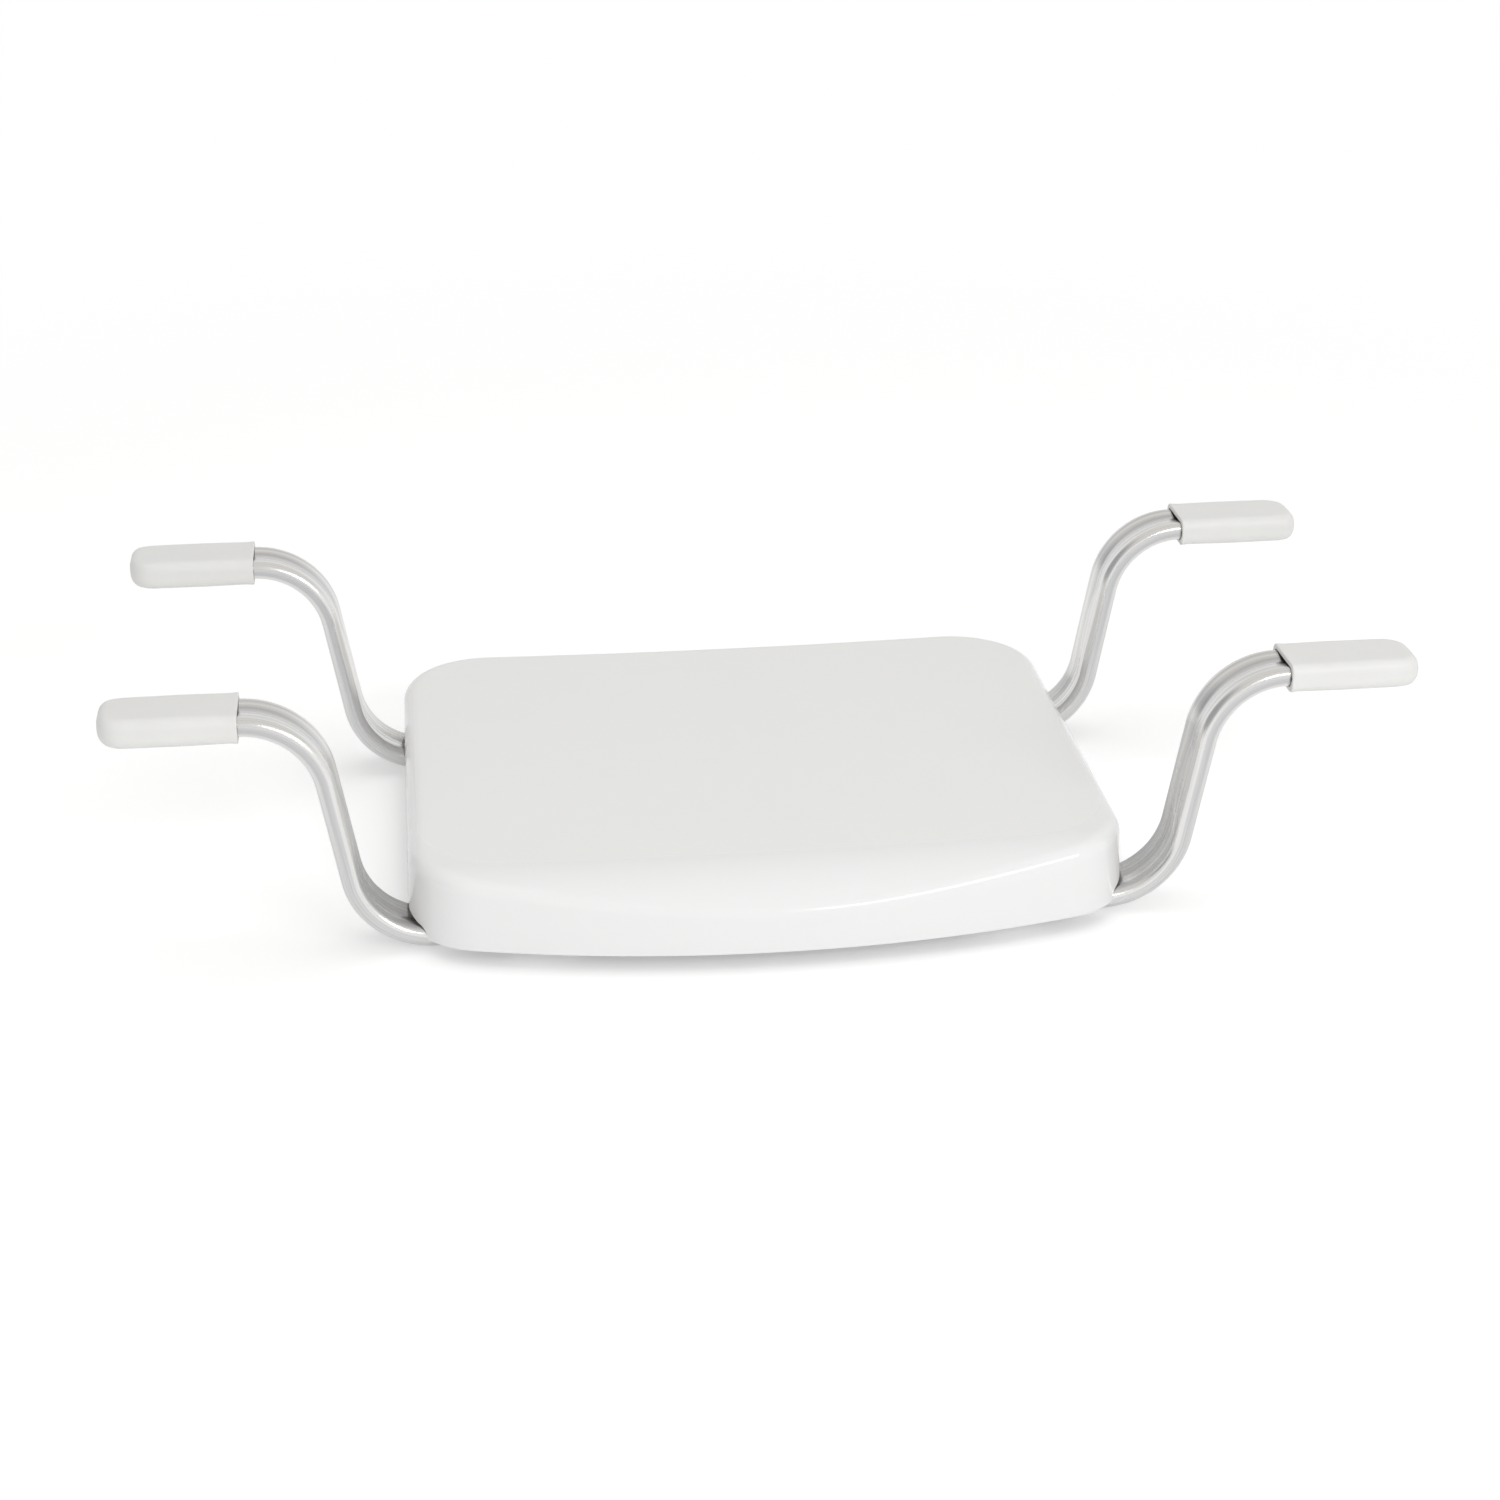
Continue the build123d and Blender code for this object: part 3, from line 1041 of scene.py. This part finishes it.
    def add_underside(self, shell: bpy.types.Object) -> None:
        """Add the ribs and the bosses under the top.

        Args:
            shell: The seat's skin with its wall.
        """
        bm = bmesh.new()
        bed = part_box("arm_front_left")[0].z + BentArm.height + self.bed_clear
        shallow = self.rim - self.dish_depth - self.wall - self.shallow_depth
        for corner in Corner:
            middle = corner.row * self.arm_line
            start, end = middle - self.bed_half_width, middle + self.bed_half_width
            for number in range(self.rib_count):
                x = corner.side * (self.rib_start + number * self.rib_pitch)
                self.add_rib(bm, Vector((x, start, bed)), Vector((x, end, bed)))
        for row in (-1, 1):
            for edge in (-1, 1):
                y = row * self.arm_line + edge * self.bed_half_width
                self.add_rib(bm, Vector((-self.half_width, y, bed)), Vector((self.half_width, y, bed)))
        for number in range(self.rib_count):
            x = (number - (self.rib_count - 1) / 2) * self.shallow_pitch
            self.add_rib(bm, Vector((x, -self.half_depth, shallow)), Vector((x, self.half_depth, shallow)))
        self.add_rib(bm, Vector((-self.half_width, 0, shallow)), Vector((self.half_width, 0, shallow)))
        for corner in Corner:
            for offset in (-self.knob_offset, self.screw_offset):
                place = Vector((corner.side * self.saddle_x, corner.row * (self.arm_line + offset), 0))
                self.add_boss(bm, place)
        ribs = finish_mesh(bm, "ribs")
        join = bmesh.new()
        join.from_mesh(shell.data)
        join.from_mesh(ribs.data)
        join.to_mesh(shell.data)
        join.free()
        bpy.data.objects.remove(ribs)
        shell.data.shade_smooth()
        shell.data.set_sharp_from_angle(angle=SHARP_EDGE)

    def draw_in(self, start: Vector, end: Vector) -> Vector:
        """Move one end of a rib's lower edge in until it lies under the skin.

        Args:
            start: The end to move.
            end: The other end.

        Returns:
            The end's new place.
        """
        stride = (end - start).normalized() * 0.25 * MM
        point = start.copy()
        while (self.inset_at(point.x, point.y) < self.wall + 0.2 * MM
               or self.skin_at(point.x, point.y) < point.z + self.wall):
            point += stride
        return point

    def add_rib(self, bm: BMesh, start: Vector, end: Vector) -> None:
        """Add one upright rib that runs up into the skin.

        Args:
            bm: The mesh.
            start: One end of its lower edge.
            end: The other end.
        """
        start, end = self.draw_in(start, end), self.draw_in(end, start)
        steps = max(round((end - start).length / self.rib_step), 2)
        trace = Trace(bm, start)
        trace.line(end, steps)
        lower = trace.ring
        edges = [bm.edges.get((a, b)) for a, b in zip(lower, lower[1:])]
        made = bmesh.ops.extrude_edge_only(bm, edges=edges)["geom"]
        for vert in (v for v in made if isinstance(v, BMVert)):
            vert.co.z = self.skin_at(vert.co.x, vert.co.y) - 0.6 * self.wall
        settle_order(bm)
        faces = [f for f in bm.faces if all(v in made or v in lower for v in f.verts)]
        bmesh.ops.recalc_face_normals(bm, faces=faces)
        thick = bmesh.ops.solidify(bm, geom=faces, thickness=self.rib_wall)
        across = (end - start).normalized().cross(UP)
        grown = [f for f in thick["geom"] if isinstance(f, BMFace)]
        verts = list(dict.fromkeys(v for f in grown + faces for v in f.verts))
        centre = sum(v.co.dot(across) for v in verts) / len(verts)
        bmesh.ops.translate(bm, verts=verts, vec=across * (start.dot(across) - centre))

    def add_boss(self, bm: BMesh, place: Vector) -> None:
        """Add one boss with its hole for a threaded insert.

        Args:
            bm: The mesh.
            place: Its place in plan.
        """
        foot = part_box("threaded_inserts")[0].z
        edges_y = (place.y - self.boss_radius, place.y + self.boss_radius)
        crown = min(self.skin_at(place.x, y) for y in edges_y) - 0.5 * self.wall
        floor = foot + self.boss_hole_depth
        profile = Trace(bm, place + Vector((0, 0, floor)))
        for out, height in (
            (self.boss_hole, floor),
            (self.boss_hole, foot),
            (self.boss_radius - self.boss_chamfer, foot),
            (self.boss_radius, foot + self.boss_chamfer),
            (self.boss_radius, crown),
            (0.0, crown),
        ):
            profile.line(place + Vector((out, 0, height)), 1)
        edges = [bm.edges.get((a, b)) for a, b in zip(profile.ring, profile.ring[1:])]
        bmesh.ops.spin(bm, geom=profile.ring + edges, cent=place, axis=UP,
                       angle=2 * math.pi, steps=self.boss_steps, use_merge=True)
        reach = 1.1 * self.boss_radius
        verts = [v for v in bm.verts if v.link_faces and (v.co.xy - place.xy).length < reach]
        bmesh.ops.remove_doubles(bm, verts=verts, dist=WELD)


# ---- the arms ---------------------------------------------------------------------------------
@dataclass
class BentArm:
    """One S-bent arm of flat-oval tube, sunk a little along the faces of its bends."""

    corner: Corner
    width: float = 34 * MM
    height: float = 11 * MM
    edge_round: float = 4.2 * MM
    wall: float = 1.6 * MM
    bend_radius: float = 45.5 * MM
    bend_angle: float = math.radians(80.0)
    dent_depth: float = 1.8 * MM
    dent_half_width: float = 12.5 * MM
    dent_run: float = 24 * MM
    tip_back: float = 7.5 * MM
    counts: tuple = (6, 22, 2)
    fine_step: float = 2 * MM
    coarse_step: float = 8 * MM
    sheath_counts: tuple = (5, 6, 2)
    sheath_steps: int = 40

    def __post_init__(self) -> None:
        """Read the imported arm's box and work out the route."""
        low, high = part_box(f"arm_{self.corner.label}")
        grip_low, grip_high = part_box(f"grip_{self.corner.label}")
        self.side = self.corner.side
        self.inner_x = min(abs(low.x), abs(high.x))
        self.end_x = max(abs(low.x), abs(high.x))
        mouth = min(abs(grip_low.x), abs(grip_high.x))
        self.y = (low.y + high.y) / 2
        self.low_z = low.z + self.height / 2
        self.high_z = high.z - self.height / 2
        tangent = self.bend_radius * math.tan(self.bend_angle / 2)
        rise = self.high_z - self.low_z
        upper_knee = mouth - tangent
        lower_knee = upper_knee - rise / math.tan(self.bend_angle)
        turn = self.bend_radius * self.bend_angle
        slant = rise / math.sin(self.bend_angle) - 2 * tangent
        self.runs = [
            ("line", lower_knee - tangent - self.inner_x, 0.0),
            ("bend", turn, 1.0),
            ("line", slant, 0.0),
            ("bend", turn, -1.0),
            ("line", self.end_x - self.tip_back - mouth, 0.0),
        ]

    def route(self, distance: float) -> tuple[Vector, float]:
        """Follow the tube's axis.

        Args:
            distance: The length along it from its inner end.

        Returns:
            The place in the arm's own upright plane (outwards, up), and its slope there.
        """
        place, slope = Vector((self.inner_x, self.low_z)), 0.0
        for kind, length, sense in self.runs:
            run = min(distance, length)
            heading = Vector((math.cos(slope), math.sin(slope)))
            if kind == "line":
                place = place + heading * run
            else:
                turn = sense * run / self.bend_radius
                normal = Vector((-heading.y, heading.x)) * sense
                centre = place + normal * self.bend_radius
                place = centre + Matrix.Rotation(turn, 2) @ (place - centre)
                slope += turn
            distance -= run
            if distance <= 0:
                break
        return place, slope

    def dent(self, distance: float) -> float:
        """Find how much of the full dent there is at a place.

        Args:
            distance: The length along the arm.

        Returns:
            A share from 0, away from the bends, to 1, in a bend.
        """
        share, start = 0.0, 0.0
        for kind, length, _ in self.runs:
            if kind == "bend":
                outside = max(start - distance, distance - start - length, 0.0)
                near = max(1 - outside / self.dent_run, 0.0)
                share = max(share, near * near * (3 - 2 * near))
            start += length
        return share

    def section_point(self, flat: Vector, distance: float) -> Vector:
        """Sink a point of the section where the tube is bent.

        Args:
            flat: Its place across and up in the plain section.
            distance: The length along the arm.

        Returns:
            Its place in the sunk section.
        """
        across = min(math.hypot(flat.x / self.dent_half_width, 0.06), 1.0)
        valley = (1 - across) ** 1.3
        depth = self.dent_depth * self.dent(distance) * valley
        return Vector((flat.x, flat.y - math.copysign(depth, flat.y)))

    def carry(self, flat: Vector, distance: float) -> Vector:
        """Carry a point of the section to its place along the arm.

        Args:
            flat: Its place across and up in the section.
            distance: The length along the arm.

        Returns:
            Its place in the frame.
        """
        place, slope = self.route(distance)
        out = place.x - flat.y * math.sin(slope)
        return Vector((self.side * out, self.y + flat.x, place.y + flat.y * math.cos(slope)))

    def build(self) -> bpy.types.Object:
        """Build the arm.

        Returns:
            The arm.
        """
        bm = bmesh.new()
        drawn = bm.verts.layers.float_vector.new("drawn")
        size = Vector((self.width, self.height))
        ring = box_ring(bm, Vector((0, 0, 0)), size, self.edge_round, self.counts)
        flats = [Vector((v.co.y, v.co.z)) for v in ring]

        def station(number: int, distance: float) -> Vector:
            """The place of one point of the section at a length along the arm."""
            return self.carry(self.section_point(flats[number], distance), distance)

        total = sum(length for _, length, _ in self.runs)
        for number, vert in enumerate(ring):
            vert.co = station(number, 0.0)
            vert[drawn] = Vector((0.0, *flats[number]))
        for distance in self.stations(total):
            ring = draw_on(bm, ring, lambda i, _, d=distance: station(i, d))
            for number, vert in enumerate(ring):
                vert[drawn] = Vector((distance, *flats[number]))
        bmesh.ops.recalc_face_normals(bm, faces=bm.faces)
        self.face_outwards(bm)
        arm = finish_mesh(bm, f"arm_tube_{self.corner.label}")
        thick = arm.modifiers.new("wall", "SOLIDIFY")
        thick.thickness = self.wall
        thick.offset = -1.0
        thick.use_even_offset = True
        return arm

    def sheathe(self, bm: BMesh, start_x: float, clear: float) -> None:
        """Draw a closed solid round the lower part of the arm, larger than it by a clearance.

        Args:
            bm: The mesh it is drawn in.
            start_x: Where it starts, outwards from the middle.
            clear: The clearance.
        """
        size = Vector((self.width + 2 * clear, self.height + 2 * clear))
        ring = box_ring(bm, Vector((0, 0, 0)), size, self.edge_round + clear, self.sheath_counts)
        flats = [Vector((v.co.y, v.co.z)) for v in ring]
        begin = start_x - self.inner_x
        finish = self.runs[0][1] + self.runs[1][1]
        for number, vert in enumerate(ring):
            vert.co = self.carry(flats[number], begin)
        first = ring
        for step in range(1, self.sheath_steps + 1):
            distance = begin + (finish - begin) * step / self.sheath_steps
            ring = draw_on(bm, ring, lambda i, _, d=distance: self.carry(flats[i], d))
        for end in (first, ring):
            bmesh.ops.contextual_create(bm, geom=ring_edges(bm, end))
        bmesh.ops.recalc_face_normals(bm, faces=bm.faces)

    def face_outwards(self, bm: BMesh) -> None:
        """Turn the open tube's faces so that they point away from its axis.

        Args:
            bm: The mesh.
        """
        bm.faces.ensure_lookup_table()
        face = bm.faces[0]
        centre = face.calc_center_median()
        axis = Vector((centre.x, self.y, self.low_z))
        if face.normal.dot(centre - axis) < 0:
            bmesh.ops.reverse_faces(bm, faces=bm.faces)

    def stations(self, total: float) -> list[float]:
        """List the distances of the rings along the arm, close together near the bends.

        Args:
            total: The length of the arm.

        Returns:
            The distances, up to the full length.
        """
        stops, distance = [], 0.0
        while distance < total - self.fine_step / 2:
            step = self.fine_step if self.dent(distance) > 0 else self.coarse_step
            distance = min(distance + step, total)
            stops.append(distance)
        stops[-1] = total
        return stops


@dataclass
class RimGrip:
    """One soft sleeve that rests on the bath rim: closed at its outer end, open at its mouth."""

    corner: Corner
    taper: float = math.radians(0.8)
    edge_round: float = 5.6 * MM
    plan_large: float = 14 * MM
    plan_small: float = 9 * MM
    end_wall: float = 10 * MM
    lip_round: float = 0.9 * MM
    lip_flare: float = 0.8 * MM
    sleeve_width: float = 34.1 * MM
    sleeve_height: float = 11.1 * MM
    sleeve_corner: float = 4.25 * MM
    waist: float = 0.35 * MM
    waist_rise: float = 5 * MM
    waist_fall: float = 22 * MM
    wave: float = 0.12 * MM
    blunt: float = 0.48
    counts: tuple = (7, 14, 5)
    end_steps: int = 14
    lip_steps: int = 6
    cap_border: float = 1.5 * MM
    # Millimetres in along the bore, and the share of the lip's flare there.
    flares: tuple = ((0.0, 1.0), (0.2, 0.75), (0.8, 0.25), (1.8, 0.0), (12.0, 0.0))

    def __post_init__(self) -> None:
        """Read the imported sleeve's box."""
        low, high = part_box(f"grip_{self.corner.label}")
        self.mouth = min(abs(low.x), abs(high.x))
        self.end = max(abs(low.x), abs(high.x))
        self.width = high.y - low.y
        self.height = high.z - low.z
        self.y = (low.y + high.y) / 2
        self.z = (low.z + high.z) / 2

    def build(self) -> bpy.types.Object:
        """Build the sleeve.

        Returns:
            The sleeve.
        """
        bm = bmesh.new()
        rings = [
            box_ring(bm, Vector((x, self.y + shift, self.z)), Vector((w, h)), r, self.counts)
            for x, shift, w, h, r in self.profile()
        ]
        for first, second in zip(rings, rings[1:]):
            bmesh.ops.bridge_loops(bm, edges=ring_edges(bm, first) + ring_edges(bm, second))
        cap(bm, rings[0], self.cap_border)
        cap(bm, rings[-1], self.cap_border)
        bore_rings = len(self.flares) + 1
        self.soften([vert for ring in rings[:-bore_rings] for vert in ring])
        bmesh.ops.scale(bm, verts=bm.verts, vec=Vector((self.corner.side, 1, 1)))
        bmesh.ops.recalc_face_normals(bm, faces=bm.faces)
        return finish_mesh(bm, f"grip_sleeve_{self.corner.label}", SOFT_EDGE)

    def profile(self) -> list[tuple[float, float, float, float, float]]:
        """List the rings from the closed end, out to the mouth and in along the bore.

        Returns:
            Each ring's place outwards, its shift along Y, its width, its height and its
            corner radius.
        """
        turns = [math.pi / 2 * step / self.end_steps for step in range(self.end_steps + 1)]
        places = [self.end - self.plan_large * (1 - math.cos(turn)) for turn in turns]
        run = self.end - self.plan_large - self.mouth
        shares = (0.9, 0.8, 0.7, 0.6, 0.5, 0.4, 0.3, 0.2, 0.12, 0.07)
        places += [self.mouth + share * run for share in shares]
        rings = []
        for x in places:
            depth = self.end - x
            waist = self.waist_at(x)
            slim = (x - self.mouth) * math.tan(self.taper)
            large, small = self.rounded(self.plan_large, depth), self.rounded(self.plan_small, depth)
            wide = self.width - 2 * (slim + waist) - large - small
            tall = self.height - 2 * (waist + self.rounded(self.edge_round, depth))
            shift = self.corner.side * (small - large) / 2
            near = max(1 - depth / self.plan_large, 0.0)
            share = near * near * (3 - 2 * near)
            edge = min(self.edge_round, self.blunt * tall)
            rings.append((x, shift, wide, tall, edge + share * (self.blunt * tall - edge)))
        for step in range(self.lip_steps + 1):
            turn = math.pi / 2 * step / self.lip_steps
            x = self.mouth + self.lip_round * (1 - math.sin(turn))
            drop = self.lip_round * (1 - math.cos(turn)) + self.waist_at(x)
            rings.append((x, 0.0, self.width - 2 * drop, self.height - 2 * drop, self.edge_round - drop))
        for inward, flare in self.flares:
            wider = flare * self.lip_flare
            rings.append((self.mouth + inward * MM, 0.0, self.sleeve_width + wider,
                          self.sleeve_height + wider, self.sleeve_corner + wider / 2))
        rings.append((self.end - self.end_wall, 0.0, self.sleeve_width, self.sleeve_height,
                      self.sleeve_corner))
        return rings

    @staticmethod
    def rounded(radius: float, depth: float) -> float:
        """How far a rounded end draws in at a depth from its tip."""
        short = max(radius - depth, 0.0)
        return radius - math.sqrt(radius**2 - short**2)

    def waist_at(self, x: float) -> float:
        """Find how far the sleeve draws in just behind its lip.

        Args:
            x: The place outwards.

        Returns:
            The distance that each side moves in.
        """
        run = x - self.mouth
        rise = min(run / self.waist_rise, 1.0)
        fall = max(1 - max(run - self.waist_rise, 0.0) / self.waist_fall, 0.0)
        return self.waist * rise * fall

    def soften(self, verts: Ring) -> None:
        """Give the outside the faint waves of soft vinyl, always inwards of the plain form.

        Args:
            verts: The outside's vertices.
        """
        for vert in verts:
            away = Vector((0, vert.co.y - self.y, vert.co.z - self.z))
            seat = Vector((vert.co.x * 30, vert.co.y * 45 * self.corner.row, vert.co.z * 45))
            seat.x += 7.0 * self.corner.side
            pull = self.wave * (0.5 + 0.5 * noise.noise(seat))
            vert.co -= away.normalized() * pull


# ---- hardware and studio --------------------------------------------------------------------------
@dataclass
class Hardware:
    """The pieces of the frame that keep their own shape and get a finish."""

    effects: Effects

    def dress(self) -> None:
        """Give each such piece its material."""
        steel = PlainFinish("saddle_steel", (0.50, 0.50, 0.51, 1), (0.64, 0.64, 0.64, 1), (0.28, 0.42),
                            metallic=1.0, brush=(0.05, 1.0, 1.0)).make(self.effects)
        screw = PlainFinish("screw_steel", (0.46, 0.46, 0.47, 1), (0.60, 0.60, 0.60, 1), (0.22, 0.36),
                            metallic=1.0, grain_size=1500.0).make(self.effects)
        knob = PlainFinish("knob_plastic", (0.018, 0.018, 0.020, 1), (0.034, 0.034, 0.036, 1),
                           (0.42, 0.60), grain_depth=0.08 * MM).make(self.effects)
        plug = PlainFinish("plug_plastic", (0.56, 0.56, 0.55, 1), (0.66, 0.66, 0.65, 1),
                           (0.44, 0.60)).make(self.effects)
        brass = PlainFinish("insert_brass", (0.48, 0.33, 0.12, 1), (0.66, 0.49, 0.22, 1), (0.24, 0.40),
                            metallic=1.0, brush=(1.0, 1.0, 0.1)).make(self.effects)
        finishes = {"saddle_screws": screw, "threaded_inserts": brass, "saddle_": steel,
                    "knob_stud_": screw, "knob_": knob, "tube_plug_": plug}
        for name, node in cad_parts.items():
            start = next((s for s in finishes if name.startswith(s)), None)
            if start is None:
                continue
            node.data.materials.clear()
            node.data.materials.append(finishes[start])
            LOG.info("%s: dressed in %s", name, finishes[start].name)


@dataclass(frozen=True)
class SoftLamp:
    """One soft rectangular lamp that faces the seat.

    A mirrored lamp shows as a highlight on the glossy surfaces.
    """

    name: str
    place: tuple
    size: tuple
    power: float
    mirrored: bool = False
    aim: tuple = (0.0, 0.0, 0.05)

    def hang(self) -> None:
        """Hang the lamp."""
        lamp = bpy.data.lights.new(self.name, "AREA")
        lamp.shape = "RECTANGLE"
        lamp.size, lamp.size_y = self.size
        lamp.energy = self.power
        holder = bpy.data.objects.new(self.name, lamp)
        bpy.context.scene.collection.objects.link(holder)
        holder.location = self.place
        holder.visible_glossy = self.mirrored
        ahead = Vector(self.aim) - holder.location
        holder.rotation_euler = ahead.to_track_quat("-Z", "Y").to_euler()


@dataclass
class Studio:
    """Pale floor, white surroundings, soft lamps and the camera."""

    floor_size: float = 30.0
    floor_near: float = 0.6
    floor_far: float = 1.5
    floor_lift: float = 0.31
    horizon: tuple = (1.0, 1.0, 1.0, 1.0)
    ceiling: tuple = (0.80, 0.785, 0.765, 1.0)
    left_side: tuple = (0.42, 0.42, 0.43, 1.0)
    world_light: float = 0.636
    lit_side: tuple = (1.0, 0.995, 0.985, 1.0)
    dim_side: tuple = (0.80, 0.795, 0.785, 1.0)
    dim_span: tuple = (-0.70, 0.10)
    ceiling_span: tuple = (0.08, 0.60)
    left_span: tuple = (-0.45, -0.80)
    lamps: tuple = (
        SoftLamp("key_soft", (1.0, -1.85, 1.2), (1.4, 0.5), 12.5, mirrored=True),
        SoftLamp("front_fill", (-0.6, -2.4, 0.5), (2.0, 1.0), 10.0),
        SoftLamp("top_soft", (0.0, 0.3, 2.6), (2.0, 2.0), 13.0),
    )
    camera_place: tuple = (-0.18665, -1.56464, 0.76815)
    camera_yaw: float = 6.903
    camera_pitch: float = 24.412
    lens: float = 68.53
    sensor: float = 36.0

    def build(self) -> None:
        """Set the whole studio up."""
        bpy.context.scene.view_settings.view_transform = "Standard"
        self.add_floor()
        self.add_world()
        for lamp in self.lamps:
            lamp.hang()
        self.add_camera()

    def add_floor(self) -> None:
        """Lay the floor at the lowest point of the object."""
        low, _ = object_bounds()
        bm = bmesh.new()
        level = Matrix.Translation((0, 0, low[2]))
        bmesh.ops.create_grid(bm, x_segments=1, y_segments=1, size=self.floor_size / 2, matrix=level)
        floor = finish_mesh(bm, "floor")
        surface = Surface("floor_paper", Roughness=0.9, Base_Color=(0.86, 0.86, 0.86, 1.0))
        surface.shader.inputs["Specular IOR Level"].default_value = 0.0
        graph = surface.graph
        tree = surface.material.node_tree
        path = graph.add("ShaderNodeLightPath")
        length = graph.add("ShaderNodeVectorMath", operation="LENGTH")
        graph.join(surface.place, length.inputs[0])
        far = graph.ramp(length.outputs["Value"], self.floor_near, self.floor_far)
        white = graph.add("ShaderNodeEmission", Color=(1, 1, 1, 1), Strength=1.0)
        lift = graph.add("ShaderNodeEmission", Color=(1, 1, 1, 1), Strength=self.floor_lift)
        near = graph.add("ShaderNodeAddShader")
        faded = graph.add("ShaderNodeMixShader")
        mix = graph.add("ShaderNodeMixShader")
        graph.join(surface.shader.outputs[0], near.inputs[0])
        graph.join(lift.outputs[0], near.inputs[1])
        graph.join(far, faded.inputs[0])
        graph.join(near.outputs[0], faded.inputs[1])
        graph.join(white.outputs[0], faded.inputs[2])
        seen = graph.maths("MAXIMUM", path.outputs["Is Camera Ray"], path.outputs["Is Glossy Ray"])
        seen = graph.maths("MAXIMUM", seen, path.outputs["Is Transmission Ray"])
        graph.join(seen, mix.inputs[0])
        graph.join(surface.shader.outputs[0], mix.inputs[1])
        graph.join(faded.outputs[0], mix.inputs[2])
        graph.join(mix.outputs[0], tree.nodes["Material Output"].inputs["Surface"])
        floor.data.materials.append(surface.material)
        floor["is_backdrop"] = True

    def add_world(self) -> None:
        """Surround the object with soft light, white where it is seen or mirrored."""
        world = bpy.data.worlds.new("studio")
        bpy.context.scene.world = world
        world.use_nodes = True
        graph = NodeGraph(world.node_tree)
        split = graph.add("ShaderNodeSeparateXYZ")
        graph.join(graph.add("ShaderNodeTexCoord").outputs["Generated"], split.inputs[0])
        light = world.node_tree.nodes["Background"]
        light.inputs["Strength"].default_value = self.world_light
        rightwards = graph.ramp(split.outputs["X"], *self.dim_span)
        graph.join(graph.blend(rightwards, self.dim_side, self.lit_side, colour=True), light.inputs["Color"])
        height = graph.ramp(split.outputs["Z"], *self.ceiling_span)
        round_room = graph.blend(height, self.horizon, self.ceiling, colour=True)
        left = graph.ramp(split.outputs["X"], *self.left_span)
        mirrored = graph.add("ShaderNodeBackground")
        graph.join(graph.blend(left, round_room, self.left_side, colour=True), mirrored.inputs["Color"])
        white = graph.add("ShaderNodeBackground", Color=(1, 1, 1, 1))
        path = graph.add("ShaderNodeLightPath")
        seen = graph.maths("MAXIMUM", path.outputs["Is Camera Ray"], path.outputs["Is Transmission Ray"])
        shaded = graph.add("ShaderNodeMixShader")
        mix = graph.add("ShaderNodeMixShader")
        graph.join(path.outputs["Is Glossy Ray"], shaded.inputs[0])
        graph.join(light.outputs[0], shaded.inputs[1])
        graph.join(mirrored.outputs[0], shaded.inputs[2])
        graph.join(seen, mix.inputs[0])
        graph.join(shaded.outputs[0], mix.inputs[1])
        graph.join(white.outputs[0], mix.inputs[2])
        graph.join(mix.outputs[0], world.node_tree.nodes["World Output"].inputs["Surface"])

    def add_camera(self) -> None:
        """Place the camera."""
        camera = bpy.data.cameras.new("camera")
        camera.lens = self.lens
        camera.sensor_width = self.sensor
        holder = bpy.data.objects.new("camera", camera)
        bpy.context.scene.collection.objects.link(holder)
        yaw, pitch = math.radians(self.camera_yaw), math.radians(self.camera_pitch)
        ahead = Vector((math.sin(yaw) * math.cos(pitch), math.cos(yaw) * math.cos(pitch), -math.sin(pitch)))
        holder.location = self.camera_place
        holder.rotation_euler = ahead.to_track_quat("-Z", "Y").to_euler()
        bpy.context.scene.camera = holder


def main() -> None:
    """Build the pieces in order, dress them and set up the studio."""
    logging.basicConfig(level=logging.INFO, format="%(name)s: %(message)s")
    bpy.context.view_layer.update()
    effects = Effects()
    seat = SeatShell()
    shell = seat.build()
    shell.data.materials.clear()
    shell.data.materials.append(SeatPlastic().make(effects, seat))
    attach(shell, "seat")
    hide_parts("seat_shell")
    LOG.info("%s: %d faces", shell.name, len(shell.data.polygons))
    aluminium = TubeAluminium().make(effects)
    vinyl = GripVinyl().make(effects)
    for corner in Corner:
        for maker, material, node, slot in (
            (BentArm(corner), aluminium, "arm", "tube_aluminium"),
            (RimGrip(corner), vinyl, "grip", "grip_vinyl"),
        ):
            piece = maker.build()
            piece.data.materials.append(material)
            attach(piece, f"arm_{corner.label}")
            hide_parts(f"{node}_{corner.label}")
            LOG.info("%s: %d faces", piece.name, len(piece.data.polygons))
    Hardware(effects).dress()
    Studio().build()


if __name__ == "__main__":
    main()
